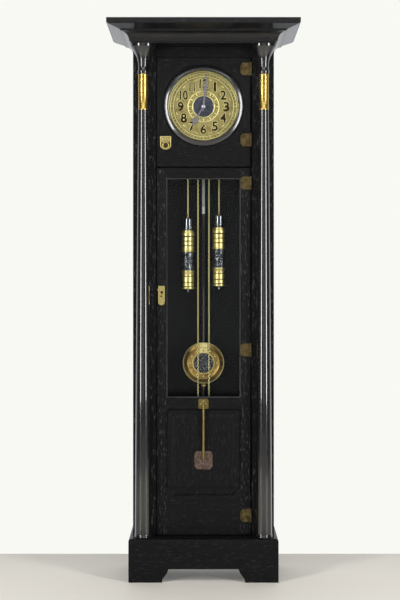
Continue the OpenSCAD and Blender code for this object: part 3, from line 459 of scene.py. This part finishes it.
def plate(outline, steps, at):
    # A convex outline of (x, z) in mm carried through steps of (inset, y): each step is the outline moved in
    # by its inset along the corner mitres, and the first and last steps close to their middle
    outline = np.array(outline, float)
    ahead = np.roll(outline, -1, 0) - outline
    ahead /= np.linalg.norm(ahead, axis=1)[:, None]
    behind = np.roll(ahead, 1, 0)
    normal = np.stack([-ahead[:, 1], ahead[:, 0]], -1)
    before = np.stack([-behind[:, 1], behind[:, 0]], -1)
    mitre = (normal + before) / (1 + (normal * before).sum(1))[:, None]
    mitre *= np.sign(((outline.mean(0) - outline) * mitre).sum())
    rows = [np.column_stack([*(outline + inset * mitre).T, np.full(len(outline), y)]) for inset, y in steps]
    rows = [rows[0].mean(0) + 0 * rows[0]] + rows + [rows[-1].mean(0) + 0 * rows[-1]]
    points = np.array(rows)[:, :, [0, 2, 1]] * mm
    return points[None] + np.array(at), False, True


def ringOf(radius, wire, at, axis="y", steps=40, section=10):
    # A round ring: a circle of the wire's radius carried round a circle
    angle = np.linspace(0, 2 * np.pi, section, endpoint=False)
    profile = np.stack([radius + wire * np.cos(angle), wire * np.sin(angle)], -1)
    points, _, _ = turned(profile, at, axis, steps)
    return points, True, True


def aroundDial(count, radius, at, shift=0.0):
    # Points evenly spaced on an upright circle, and their angles from the top
    angle = (np.arange(count) + shift) * 2 * np.pi / count
    return np.array(at) + radius * mm * np.stack([np.sin(angle), 0 * angle, np.cos(angle)], -1), angle


dialSettings = {
    "face": -4.0, "back": -2.5,        # y of the ground and of the back, in mm
    "radius": 131, "foot": 3, "feetAt": (60, 55),
    "rings": [(128.4, 2.4, 1.1), (121, 1.7, 1.3), (110, 1.5, 1.1), (56, 1.8, 1.3), (39.5, 1.3, 0.9)],
    "minuteRadius": 115.4, "minuteStud": 2.0, "hourStud": 2.7,
    "numeralRadius": 83, "numeralHeight": 33, "numeralWidth": 20,
    "otherWidths": {"1": 8, "10": 28, "11": 19, "12": 28},
    # Thickening, depth, y of the middle, finish and slot: a dark brown body on a slightly wider brass one
    # whose near-white colour is a painted highlight
    "numeralLayers": {"Edge": (2.3, 1.0, -4.4, "highlightDialBrass", "brass"),
                      "Body": (0.9, 1.3, -4.8, "numeralBrown", "copper_bronze")},
    # How many, radius, shift in steps, half axes across, up and deep, and whether they turn with the circle
    "ornaments": [(12, 48.5, 0.0, (2.2, 5.2, 1.3), True), (12, 51, 0.5, (1.9, 1.9, 1.5), False),
                  (24, 43.2, 0.5, (1.3, 1.3, 1.0), False), (12, 100, 0.5, (6.5, 1.6, 0.8), True)],
    "centreRadius": 37.5, "arborHole": 5.0,
}


def dialProfile(settings):
    # The front is flat with half-round rings, each the root of 1 minus its squared distance; then the back
    radius = np.linspace(settings["arborHole"], settings["radius"], 240)
    height = np.full_like(radius, settings["face"])
    for centre, halfWidth, rise in settings["rings"]:
        height -= rise * np.sqrt(np.clip(1 - ((radius - centre) / halfWidth) ** 2, 0, 1))
    front = np.stack([radius, height], -1)
    back = [[settings["radius"], settings["back"]], [settings["arborHole"], settings["back"]]]
    return np.concatenate([front, back])


ringSettings = {
    # Radii and heights y in mm, in the dial's own measure; the ring's back lies on the glass
    "lip": [(127, -22), (127, -36.5), (127.8, -38.9), (129, -40.3), (130.2, -40.8)],
    "slope": (131, 142), "slopeAngle": (15, 25), "crest": -40.9,
    "roll": [(144.5, -35.2), (146.6, -32.9), (147.7, -30), (148, -27), (148, -22)],
}

dialAt = (0.0, 0.0, float(middle("hand_nut")[2]))


def makeDial(settings):
    points, _, _ = turned(dialProfile(settings), dialAt, "y", 180)
    footDepth = float(lowHigh("dial")[1][1]) / mm
    back, foot, (footX, footZ) = settings["back"], settings["foot"], settings["feetAt"]
    peg = [(0, back), (foot, back), (foot, footDepth), (0, footDepth)]
    feet = [turned(peg, (x * mm, 0, dialAt[2] + z * mm), "y", 24)
            for x in (-footX, footX) for z in (-footZ, footZ)]
    addPiece("dialPlate", [(points, True, True)] + feet, "dialBrass", "case", ["dial"])
    ground = (0, settings["face"] * mm, dialAt[2])
    minutes, _ = aroundDial(60, settings["minuteRadius"], ground)
    hours = np.arange(60) % 5 == 0
    relief = [studs(minutes[~hours], settings["minuteStud"], settings["minuteStud"], 1.5),
              studs(minutes[hours], settings["hourStud"], settings["hourStud"], 1.9)]
    for count, radius, shift, halfAxes, turning in settings["ornaments"]:
        centres, angle = aroundDial(count, radius, ground, shift)
        relief.append(studs(centres, *halfAxes, angle if turning else 0.0))
    # The raised studs are near-white brass, a painted highlight
    addPiece("dialOrnament", relief, "highlightDialBrass", "case")
    edge, radius = settings["face"] - 1.3, settings["centreRadius"]
    addPiece("dialCentre", [(turned([(5, -3.6), (5, edge + 0.3), (8, edge), (30, edge), (31, edge + 0.4),
                                     (33, edge + 0.4), (34, edge), (radius - 1, edge), (radius, edge + 0.6),
                                     (radius, -3.6)], dialAt, "y", 120)[0], True, True)],
             "bluedSteel", "case")


def numeralMesh(name, body, grow, thick, height, width):
    # The outline of a number, thickened by grow, stood upright and stretched to its height and width, in mm
    curve = bpy.data.curves.new(name, "FONT")
    curve.body = body
    curve.align_x = "CENTER"
    curve.size = 40 * mm
    curve.extrude = thick * mm / 2
    curve.bevel_depth = 0.25 * mm
    curve.offset = grow * mm
    curve.resolution_u = 6
    holder = bpy.data.objects.new(name, curve)
    mesh = bpy.data.meshes.new_from_object(holder)
    bpy.data.objects.remove(holder)
    flat = np.empty(len(mesh.vertices) * 3, np.float32)
    mesh.vertices.foreach_get("co", flat)
    flat = flat.reshape(-1, 3)
    low, high = flat.min(0), flat.max(0)
    flat -= (low + high) / 2
    size = high - low
    flat[:, 0] *= (width + 2 * grow) * mm / size[0]
    flat[:, 1] *= (height + 2 * grow) * mm / size[1]
    taper = 0.12    # a little broader at the foot, as drawn numbers are
    flat[:, 0] *= 1 - taper * flat[:, 1] / (height * mm)
    return mesh, np.stack([flat[:, 0], -flat[:, 2], flat[:, 1]], -1)


def makeNumerals(settings):
    # The numbers stand upright with their middles on a circle, each in two layers
    radius = settings["numeralRadius"] * mm
    for layer, (grow, thick, middleY, finishName, slotName) in settings["numeralLayers"].items():
        for hour in range(1, 13):
            angle = hour * np.pi / 6
            digits = str(hour)
            width = settings["otherWidths"].get(digits, settings["numeralWidth"])
            mesh, upright = numeralMesh(f"numeral{layer}{hour:02d}", digits, grow, thick,
                                        settings["numeralHeight"], width)
            upright += (np.sin(angle) * radius, middleY * mm, dialAt[2] + np.cos(angle) * radius)
            mesh.vertices.foreach_set("co", upright.astype(np.float32).ravel())
            mesh.update()
            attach(placePiece(mesh, finishName), "case")


def makeRing(settings):
    # Moulding round the dial glass: a rounded lip, then an outward slope that steepens a little, then a roll
    # back to the door; the slope's height is the running sum of the tangent of its angle
    radius = np.linspace(*settings["slope"], 12)
    angle = np.radians(np.linspace(*settings["slopeAngle"], 12))
    fall = np.concatenate([[0], np.cumsum(np.tan(angle[1:]) * np.diff(radius))])
    slope = np.stack([radius, settings["crest"] + fall], -1)
    profile = np.concatenate([settings["lip"], slope, settings["roll"]])
    points, _, _ = turned(profile, dialAt, "y", 180)
    addPiece("hoodRing", [(points, True, True)], "ringPolish", "hood_door", ["hood_ring"])


makeDial(dialSettings)
makeNumerals(dialSettings)
makeRing(ringSettings)
print("dial made")

weightSettings = {
    # (radius, height) in mm above the foot of the lower tube
    "lowerTube": [(0, -3), (15, -3), (21.6, -2.4), (23.2, -1), (23.5, 2), (23.2, 5), (20.9, 6), (20.9, 7.8),
                  (22.3, 8.6), (22.3, 21), (20.7, 21.8), (20.7, 23.6), (22.3, 24.4), (22.3, 43), (20.7, 43.8),
                  (20.7, 45.6), (22.3, 46.4), (22.3, 59.4), (23.1, 60.4), (23.4, 63), (23, 65.4), (22.4, 66),
                  (0, 66)],
    "upperTube": [(0, 134), (22.4, 134), (23, 134.6), (23.4, 137), (23, 139.6), (22.3, 140.4), (22.3, 155),
                  (20.7, 155.8), (20.7, 157.8), (22.3, 158.6), (22.3, 172), (20.7, 172.8), (20.7, 174.8),
                  (22.3, 175.6), (22.3, 189), (20.7, 189.8), (20.7, 192), (23.2, 193), (23.5, 196),
                  (23.4, 199), (22.6, 203), (21, 207.5), (20, 211), (19.6, 213), (0, 213)],
    "cap": [(0, 213.2), (16.6, 213.2), (17.3, 215), (17.3, 255), (16.8, 257.5), (15, 259.4), (12, 260),
            (0, 260)],
    "finial": [(0, -14), (2, -14), (3.2, -12.6), (3.4, -11), (2.6, -9.4), (2.4, -7.6), (4.2, -6.4),
               (5, -5), (5, -3), (0, -3)],
    "sleeve": (66.2, 133.8, 22.2), "dent": 0.75, "dents": 260, "dentRadius": 3.1,
    "finialDrop": 14, "hookHeight": 264.4,
    "lines": (6.9, 22.7, 44.7, 156.8, 173.8, 190.9), "line": (21.2, 1.3),    # heights, radius and wire
}


def hammered(length, around, count, dentRadius, seed):
    # Depth of hammer dents on an unrolled sheet: at each point the deepest of many round dents, each falling
    # off with the square of the distance to its centre
    rng = np.random.default_rng(seed)
    centres = rng.uniform((0, 0), (length.max(), around.max()), (count, 2))
    centres = np.concatenate([centres + (0, shift * around.max()) for shift in (-1, 0, 1)])
    distance = np.hypot(length[..., None] - centres[:, 0], around[..., None] - centres[:, 1])
    return np.clip(1 - (distance / dentRadius) ** 2, 0, 1).max(-1)


def hammeredSleeve(settings, at):
    # A tube whose radius is reduced by hammer dents, closed by flat ends
    low, high, radius = settings["sleeve"]
    height = np.linspace(0, high - low, 54)[:, None]
    angle = np.linspace(0, 2 * np.pi, 112, endpoint=False)[None, :]
    dent = hammered(height + 0 * angle, radius * angle + 0 * height, settings["dents"],
                    settings["dentRadius"], 4)
    reach = radius - settings["dent"] * dent
    rows = np.stack([reach * np.cos(angle), reach * np.sin(angle), low + height + 0 * angle], -1)
    ends = [np.broadcast_to((0.0, 0.0, low + float(height[k, 0])), (1, 112, 3)) for k in (0, -1)]
    return np.concatenate([ends[0], rows, ends[1]])[None] * mm + np.array(at), False, True


def makeWeight(side, node, settings):
    low, high = lowHigh(node)
    at = (float(low[0] + high[0]) / 2, float(low[1] + high[1]) / 2,
          float(low[2]) + settings["finialDrop"] * mm)
    for part, finishName, slotName in (("lowerTube", "satinBrass", "brass"),
                                       ("upperTube", "satinBrass", "brass"),
                                       ("cap", "blackNickel", "gloss_black"),
                                       ("finial", "brightSteel", "steel")):
        addPiece(f"{side}Weight{part[0].upper()}{part[1:]}", [turned(settings[part], at)],
                 finishName, node, [node])
    addPiece(f"{side}WeightSleeve", [hammeredSleeve(settings, at)], "hammeredBlack",
             node, [node])
    radius, wire = settings["line"]
    addPiece(f"{side}WeightLines", [ringOf(radius, wire, (at[0], at[1], at[2] + height * mm), "z", 72, 8)
                                    for height in settings["lines"]],
             "redBronze", node, [node])
    eye = (at[0], at[1], at[2] + settings["hookHeight"] * mm)
    addPiece(f"{side}WeightHook", [turned([(0, 259.8), (2.6, 259.8), (2.6, 261), (0, 261.6)], at, "z", 24),
                                   ringOf(2.9, 0.9, eye)], "clockBrass", node, [node])


makeWeight("going", "going_weight", weightSettings)
makeWeight("strike", "strike_weight", weightSettings)
print("weights made")

chainSettings = {"pitch": 7.4, "halfStraight": 2.6, "bend": 2.3, "wire": 0.95, "loopPoints": 12,
                 "section": 6, "turnRadius": 18.5, "tailKeep": 0.3,
                 "endRing": (9, 1.5), "endRingUp": 10.5}


def linkShape(settings):
    # One oval link about its own middle: a wire of round section carried round two half circles that are
    # joined by straights, long along z
    turn = np.linspace(0, 2 * np.pi, settings["loopPoints"], endpoint=False) + np.pi / settings["loopPoints"]
    out = np.stack([np.cos(turn), np.sin(turn)], -1)
    line = out * settings["bend"] + np.stack([0 * turn, np.sign(np.sin(turn)) * settings["halfStraight"]], -1)
    around = np.linspace(0, 2 * np.pi, settings["section"], endpoint=False)
    inPlane = line[:, None, :] + settings["wire"] * np.cos(around)[None, :, None] * out[:, None, :]
    offPlane = np.broadcast_to(settings["wire"] * np.sin(around), inPlane.shape[:2])
    return inPlane[..., 0], offPlane, inPlane[..., 1]


def chainLinks(places, tangents, phase, settings):
    # Links at places, each long axis along its tangent, turned by +45 and -45 degrees in turn about it
    wide, thick, long = linkShape(settings)
    back = np.array([0.0, 1.0, 0.0])
    side = np.cross(back, tangents)
    spin = np.radians(np.where((np.arange(len(places)) + phase) % 2 == 0, 45, -45))[:, None]
    first = side * np.cos(spin) + back * np.sin(spin)
    second = back * np.cos(spin) - side * np.sin(spin)
    shape = (wide[None, ..., None] * first[:, None, None] + thick[None, ..., None] * second[:, None, None]
             + long[None, ..., None] * tangents[:, None, None])
    return shape * mm + places[:, None, None, :], True, True


def straightLinks(x, y, top, bottom, settings):
    # Links from top down to bottom, with the pitch drawn out a little so that a whole number fits
    count = max(2, round((top - bottom) / (settings["pitch"] * mm)))
    height = top + (np.arange(count) + 0.5) * (bottom - top) / count
    places = np.stack([np.full(count, x), np.full(count, y), height], -1)
    return chainLinks(places, np.tile([0.0, 0.0, 1.0], (count, 1)), 0, settings)


def makeChain(side, settings):
    # A run down to the weight, a half turn over the sprocket and a free run that ends in a ring
    node, tailNode, weightNode = f"{side}_chain", f"{side}_chain_tail", f"{side}_weight"
    low, high = lowHigh(node)
    tailLow, tailHigh = lowHigh(tailNode)
    y, top = float(low[1] + high[1]) / 2, float(tailHigh[2])
    tailX = float(tailLow[0] + tailHigh[0]) / 2
    out = 1 if tailX > 0 else -1
    runX = tailX + out * 2 * settings["turnRadius"] * mm
    run = placePiece(gridMesh(f"{side}ChainRun", [straightLinks(runX, y, top, float(low[2]), settings)]),
                     "chainBrass", [node])
    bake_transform(run)
    count = round(np.pi * settings["turnRadius"] / settings["pitch"])
    angle = (np.arange(count) + 0.5) * np.pi / count
    centre = np.array([(tailX + runX) / 2, y, top])
    ring = np.stack([np.cos(angle), 0 * angle, np.sin(angle)], -1)
    tangent = np.stack([-np.sin(angle), 0 * angle, np.cos(angle)], -1)
    addPiece(f"{side}ChainTurn", [chainLinks(centre + settings["turnRadius"] * mm * ring, tangent, 1,
                                             settings)], "chainBrass", "case")
    ringRadius, ringWire = settings["endRing"]
    ringZ = float(tailLow[2]) + settings["endRingUp"] * mm
    tail = placePiece(gridMesh(f"{side}ChainTail", [
        straightLinks(tailX, y, top, ringZ + ringRadius * mm, settings),
        ringOf(ringRadius, ringWire, (tailX, y, ringZ))]),
        "chainBrass", [tailNode])
    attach(tail, "case")
    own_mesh(tail)


makeChain("going", chainSettings)
makeChain("strike", chainSettings)
print("chains made")

bobSettings = {
    # (radius, y) in mm: dished band, half-round ring, sloping flange and the cone of the back
    "shell": [(0, 81), (36, 81), (36.5, 80), (37.2, 79), (42, 79.3), (46, 81), (52, 81), (56, 79.4),
              (56.6, 77.8), (57.8, 76.5), (59.4, 76), (61, 76.5), (62.2, 77.8), (62.8, 79.4), (66, 80.4),
              (71, 82.6), (74, 83.6), (75.4, 83.4), (76, 84.4), (75.4, 86), (60, 91), (30, 96), (0, 97)],
    "studRadius": 49.5, "beadRadius": 39.5, "centre": 36.2, "dents": 110, "dentRadius": 3.6,
    "clips": {"Upper": (57.5, 74.5, 75.4), "Lower": (37, 56.5, 74.6)}, "clipHalf": 15,    # feet, tops and y
}


def bobCentre(settings, at):
    # A slightly domed disc of (radius, angle) whose front is let in by hammer dents
    radius = np.linspace(0, settings["centre"], 34)[:, None]
    angle = np.linspace(0, 2 * np.pi, 120, endpoint=False)[None, :]
    x, z = radius * np.cos(angle), radius * np.sin(angle)
    dent = hammered(x + settings["centre"], z + settings["centre"], settings["dents"],
                    settings["dentRadius"], 8)
    y = 78.4 + 1.2 * (radius / settings["centre"]) ** 2 + 0.7 * dent
    front = np.stack([x, y, z], -1)
    back = np.stack([x[-1], 0 * x[-1] + 81.5, z[-1]], -1)[None]
    pole = np.broadcast_to((0.0, 81.5, 0.0), (1, 120, 3))
    return np.concatenate([front, back, pole])[None] * mm + np.array(at), False, True


def makeBob(settings):
    at = (0.0, 0.0, float(middle("pendulum_bob")[2]))
    addPiece("bobShell", [turned(settings["shell"], at, "y", 160)], "bobBrass", "pendulum",
             ["pendulum_bob"])
    addPiece("bobCentre", [bobCentre(settings, at)], "hammeredBlack", "pendulum",
             ["pendulum_bob"])
    # The studs, beads, rings and clips are near-white brass, a painted highlight
    dots, _ = aroundDial(12, settings["studRadius"], (0, 81 * mm, at[2]))
    beads, _ = aroundDial(60, settings["beadRadius"], (0, 79 * mm, at[2]))
    addPiece("bobStuds", [studs(dots, 2.7, 2.7, 2.2), studs(beads, 1.9, 1.9, 1.7, 0, 7, 10)],
             "highlightDialBrass", "pendulum", ["pendulum_bob"])
    addPiece("bobRings", [ringOf(59.4, 2.5, (0, 78.6 * mm, at[2]), "y", 160, 16),
                          ringOf(75, 1.2, (0, 84.6 * mm, at[2]), "y", 160, 12)],
             "highlightDialBrass", "pendulum", ["pendulum_bob"])
    half = settings["clipHalf"]
    for name, (low, high, front) in settings["clips"].items():
        addPiece(f"bobClip{name}", [plate([(-half, low), (half, low), (half, high), (-half, high)],
                                          [(0, 84), (0, front + 1.2), (1.2, front), (5, front)], at)],
                 "highlightDialBrass", "pendulum", ["pendulum_bob"])
    addPiece("bobClipScrew", [turned([(0, 73.4), (1.6, 73.5), (2.4, 74.1), (2.6, 75), (0, 75)],
                                     (0, 0, at[2] + 46 * mm), "y", 24)], "redBronze",
             "pendulum")


makeBob(bobSettings)
print("bob made")


plaqueSettings = {"squareHalf": 18.5, "copperHalf": 33, "copperFront": -33.0, "pinX": 8, "pin": 2.3}


def makePlaques(settings):
    # A square plaque with a chevron of two arms at the top of the rod, and a copper one with two pins below
    low, high = lowHigh("door_plaques")
    plaqueFront, copperFront = float(low[1]) / mm, settings["copperFront"]
    upperZ = float(high[2]) - settings["squareHalf"] * mm
    lowerZ = float(low[2]) + settings["copperHalf"] * mm
    square = [(-17, -18.5), (17, -18.5), (18.5, -17), (18.5, 14), (14, 18.5), (-14, 18.5), (-18.5, 14),
              (-18.5, -17)]
    addPiece("upperPlaque", [plate(square, [(0, plaqueFront + 3), (0, plaqueFront + 0.9), (0.9, plaqueFront),
                                            (3.4, plaqueFront), (4.2, plaqueFront + 0.7)],
                                   (0, 0, upperZ))], "bronzedBrass", "trunk_door", ["door_plaques"])
    arms = [[(0, 13), (0, 7.5), (side * 12, -5.5), (side * 13.5, -1)] for side in (-1, 1)]
    addPiece("plaqueChevron", [plate(arm, [(0, plaqueFront + 0.8), (0, plaqueFront - 0.9),
                                           (1.0, plaqueFront - 1.8)], (0, 0, upperZ)) for arm in arms],
             "fittingBrass", "trunk_door", ["door_plaques"])
    # The top corners are round, the bottom ones are cut off straight
    corner = np.radians(np.arange(0, 91, 18))
    top = [(side * (21 + 12 * c), 19 + 14 * s) for side, order in ((1, 1), (-1, -1))
           for c, s in list(zip(np.cos(corner), np.sin(corner)))[::order]]
    octagon = [(-33, -22), (-23, -33), (23, -33), (33, -22)] + top
    addPiece("lowerPlaque", [plate(octagon, [(0, copperFront + 4), (0, copperFront + 1.3),
                                             (1.6, copperFront), (1.7, copperFront)], (0, 0, lowerZ))],
             "brownCopper", "trunk_door", ["door_plaques"])
    pins = np.array([(side * settings["pinX"] * mm, copperFront * mm, lowerZ) for side in (-1, 1)])
    addPiece("plaquePins", [studs(pins, settings["pin"], settings["pin"], 2)], "brightSteel",
             "trunk_door", ["door_plaques"])


makePlaques(plaqueSettings)
print("door ornament made")

plateSettings = {"halfWidth": 20, "top": 24, "clip": 2.5, "roundFrom": -8, "bottom": -25, "rim": 3.6,
                 "thick": 2.0, "recess": 1.2, "lugX": 10, "lug": (2, 2.8, 4.6)}


def makePullPlate(settings):
    # The hood's plate: a shield with a half-elliptic foot, a raised rim and a let-in ground. The ring hangs
    # from two lugs in front of it, and its upper part is a raised bright block
    low, high = lowHigh("hood_pull_plate")
    back = float(high[1]) / mm
    front = back - settings["thick"]
    half, top, clip = settings["halfWidth"], settings["top"], settings["clip"]
    at = (float(low[0] + high[0]) / 2, 0, float(high[2]) - top * mm)
    turn = np.radians(np.arange(0, 181, 15))
    foot = np.stack([half * np.cos(turn), settings["roundFrom"]
                     + (settings["bottom"] - settings["roundFrom"]) * np.sin(turn)], -1).tolist()
    shield = foot + [(-half, top - clip), (clip - half, top), (half - clip, top), (half, top - clip)]
    rim, floor = settings["rim"], front + settings["recess"]
    addPiece("hoodPullShield", [plate(shield, [(0, back), (0, front + 0.7), (0.7, front), (rim, front),
                                               (rim + 0.7, floor), (rim + 0.8, floor)], at)],
             "rimmedBrass", "hood_door", ["hood_pull_plate"])
    block = [(-14.5, 5), (14.5, 5), (14.5, 19), (-14.5, 19)]
    steps = [(0, floor), (0, front), (1, front - 0.8), (2, front - 0.8)]
    addPiece("hoodPullBlock", [plate(block, steps, at)], "fittingBrass", "hood_door",
             ["hood_pull_plate"])
    lugs = np.array([(at[0] + side * settings["lugX"] * mm, (front - 3.6) * mm, at[2] + 2 * mm)
                     for side in (-1, 1)])
    addPiece("hoodPullLugs", [studs(lugs, *settings["lug"])], "fittingBrass", "hood_door",
             ["hood_pull_plate"])


keyholeSettings = {"pivot": (12, 34.5), "ring": (4.0, 1.1), "ringUp": 12, "screw": (3.2, 3.2, 1.2)}


def makeKeyhole(settings):
    # A bronze ring round the keyhole, and the screw on the pull below it
    _, high = lowHigh("keyhole_plate")
    back = float(high[1]) / mm
    x, z = float(high[0]) - settings["pivot"][0] * mm, float(high[2]) - settings["pivot"][1] * mm
    ringAt = (x + 1 * mm, (back - 2.1) * mm, z + settings["ringUp"] * mm)
    addPiece("keyholeRing", [ringOf(*settings["ring"], ringAt)], "redBronze", "trunk_door")
    screwAt = np.array([(x - 1 * mm, float(lowHigh("trunk_pull")[0][1]), z - 3 * mm)])
    addPiece("trunkPullScrew", [studs(screwAt, *settings["screw"])], "redBronze",
             "trunk_pull")


columnSettings = {"shaft": 29.5, "taper": 1.25, "rows": 14, "collar": 2.5}


def makeColumns(settings):
    # The shaft's radius falls from foot to neck with the power of the height, above a low foot ring and below
    # a collar; the sleeve is a tube with a narrow raised band at each end
    sleeveLow, sleeveHigh = np.array(lowHigh("column_sleeves")) / mm
    shaftLow, shaftHigh = np.array(lowHigh("columns")) / mm
    sleeve, foot = (sleeveHigh[1] - sleeveLow[1]) / 2, (shaftHigh[1] - shaftLow[1]) / 2
    neck, low, high, top = sleeve - 0.9, sleeveLow[2], sleeveHigh[2], shaftHigh[2]
    floor, collar, shaft = shaftLow[2], settings["collar"], settings["shaft"]
    t = np.linspace(0, 1, settings["rows"])
    taper = np.stack([shaft - (shaft - neck - 0.5) * t ** settings["taper"],
                      floor + 12 + (low - 0.2 - floor - 12) * t], -1)
    profile = np.concatenate([
        [(0, floor), (foot - 0.4, floor), (foot, floor + 0.5), (foot, floor + 5), (foot - 0.8, floor + 6),
         (shaft + 1.5, floor + 7.5), (shaft + 0.4, floor + 9)], taper,
        [(neck - 0.7, low), (neck - 0.7, high), (neck + 1.2, high + 0.1), (neck + collar - 0.5, high + 2),
         (neck + collar, high + 4), (neck + collar, high + 12), (neck + collar - 0.6, high + 14),
         (neck + 0.5, high + 16), (neck + 0.5, top), (0, top)]])
    tube = [(neck - 0.7, low), (sleeve - 0.2, low), (sleeve, low + 0.3), (sleeve, low + 3.8),
            (neck + 0.2, low + 5), (neck + 0.2, high - 5), (sleeve, high - 3.8), (sleeve, high - 0.3),
            (sleeve - 0.2, high), (neck - 0.7, high)]
    y = float(sleeveLow[1] + sleeveHigh[1]) / 2 * mm
    for side, middleX in (("left", sleeveLow[0] + sleeve), ("right", sleeveHigh[0] - sleeve)):
        x = float(middleX) * mm
        addPiece(f"{side}Column", [turned(profile, (x, y, 0), "z", 128)], "blackPolish",
                 "case", ["columns"])
        points, _, _ = turned(tube, (x, y, 0), "z", 128)
        addPiece(f"{side}Sleeve", [(points, True, True)], "polishedBrass", "case",
                 ["column_sleeves"])


makeColumns(columnSettings)
print("columns made")

lipSettings = {"width": 4.0, "rise": 1.5, "proud": 0.3, "deep": 4.0,
               "rebate": 8}    # how far the glass reaches behind the door's edge


def makeWindowLip(settings):
    # Polished slip round the window: a section of (outward, y) that leans in by a few degrees, carried round
    # the four corners, where it is mitred because the outward distance counts along both x and z
    glassLow, glassHigh = lowHigh("trunk_glass")
    door = float(lowHigh("trunk_door")[0][1]) / mm
    rebate = settings["rebate"]
    half = float(glassHigh[0] - glassLow[0]) / 2 / mm - rebate
    centreX = float(glassLow[0] + glassHigh[0]) / 2 / mm
    low, high = float(glassLow[2]) / mm + rebate, float(glassHigh[2]) / mm - rebate
    wide, front = settings["width"], door - settings["proud"]
    section = np.array([(wide, front), (0, front + settings["rise"]), (-0.4, front + settings["rise"] + 0.4),
                        (-0.4, front + settings["deep"]), (wide, front + settings["deep"])])
    corner = np.array([(-1, -1), (1, -1), (1, 1), (-1, 1)])
    middleZ, halfZ = (low + high) / 2, (high - low) / 2
    x = centreX + corner[:, :1] * (half + section[None, :, 0])
    z = middleZ + corner[:, 1:] * (halfZ + section[None, :, 0])
    y = np.broadcast_to(section[None, :, 1], x.shape)
    addPiece("windowLip", [(np.stack([x, y, z], -1)[None] * mm, True, True)], "ringPolish",
             "trunk_door")


makeWindowLip(lipSettings)
makePullPlate(plateSettings)
makeKeyhole(keyholeSettings)
print("pull plates made")

room = {
    "floor": "#ece6db", "background": "#f9f9f4", "sky": "#fafdff",
    "skyLight": 0.12, "wallLight": 0.9,          # strength from the front, and from the wall side
    "wallFrom": (0.1, 0.5),    # y of the directions where the wall side begins and is at its full strength
    "floorHalf": 3.5, "floorFront": -5.5,
    "floorBehind": 0.22,      # how far the floor goes on behind the clock
    "lamps": {    # place, target, width and height in metres, and watts
        "leftBox": ((-2.0, -2.4, 1.6), (0, 0, 1.1), (0.5, 2.4), 62),
        "rightBox": ((2.1, -2.2, 1.6), (0, 0, 1.1), (0.5, 2.4), 62),
        "topBox": ((0, -2.4, 3.6), (0, 0, 0.9), (3.2, 1.2), 26),
        "frontBox": ((0, -5.8, 1.8), (0, 0, 1.2), (3.2, 3.2), 16),
    },
    "eyeHeight": 1.062, "eyeDistance": 4.95,
    "lens": 82.0, "shift": (-0.0058, -0.025),
}


def plainFloor(name, code, roughness):
    # Matt paint with faint unevenness, so that the floor is plain but not flat
    material, tree, shader = newMaterial(name, {"Roughness": roughness})
    cloud = unevenness(tree, add(tree, "TexCoord").outputs["Object"], (0.9, 0.9, 0.9), 2.0)
    base = hexColour(code)
    darker = tuple(c * 0.96 for c in base[:3]) + (1.0,)
    feed(tree, shader, {"Base Color": add(tree, "Mix", {0: cloud, 6: base, 7: darker}, data_type="RGBA")})
    return material


backY = float(lowHigh("back_board")[1][1])
frontY = float(lowHigh("front_stiles")[0][1])
floorMesh = bpy.data.meshes.new("floor")
half, near, far = room["floorHalf"], room["floorFront"], backY + room["floorBehind"]
floorMesh.from_pydata([(-half, near, 0), (half, near, 0), (half, far, 0), (-half, far, 0)], [],
                      [(0, 1, 2, 3)])
floorMesh.materials.append(plainFloor("floorPaint", room["floor"], 0.6))
floor = bpy.data.objects.new("floor", floorMesh)
bpy.context.scene.collection.objects.link(floor)


def softbox(name, place, target, size, watts):
    # A rectangular lamp of size metres that looks from place to target
    data = bpy.data.lights.new(name, "AREA")
    data.shape = "RECTANGLE"
    data.size, data.size_y = size
    data.energy = watts
    lamp = bpy.data.objects.new(name, data)
    lamp.location = place
    lamp.rotation_euler = (Vector(target) - Vector(place)).to_track_quat("-Z", "Y").to_euler()
    bpy.context.scene.collection.objects.link(lamp)
    return lamp


for lampName, (place, target, size, watts) in room["lamps"].items():
    softbox(lampName, place, target, size, watts)

# The room is bright to look at and on the wall side, but gives only soft light from the front
world = bpy.data.worlds.new("studio")
bpy.context.scene.world = world
world.use_nodes = True
sky = world.node_tree
sky.nodes.clear()
seen = add(sky, "LightPath")
shown = add(sky, "Background", {"Color": hexColour(room["background"]), "Strength": 1.0})
towards = add(sky, "SeparateXYZ", {"Vector": add(sky, "TexCoord").outputs["Generated"]}).outputs["Y"]
strength = add(sky, "MapRange", (towards, *room["wallFrom"], room["skyLight"], room["wallLight"]))
given = add(sky, "Background", {"Color": hexColour(room["sky"]), "Strength": strength})
both = add(sky, "MixShader", (seen.outputs["Is Camera Ray"], given, shown))
add(sky, "OutputWorld", {"Surface": both})
bpy.context.scene.view_settings.view_transform = "Standard"

cameraData = bpy.data.cameras.new("camera")
cameraData.lens = room["lens"]
cameraData.shift_x, cameraData.shift_y = room["shift"]
camera = bpy.data.objects.new("camera", cameraData)
camera.location = (0, frontY - room["eyeDistance"], room["eyeHeight"])
camera.rotation_euler = (np.pi / 2, 0, 0)
bpy.context.scene.collection.objects.link(camera)
bpy.context.scene.camera = camera
print("stage, lamps and camera set")
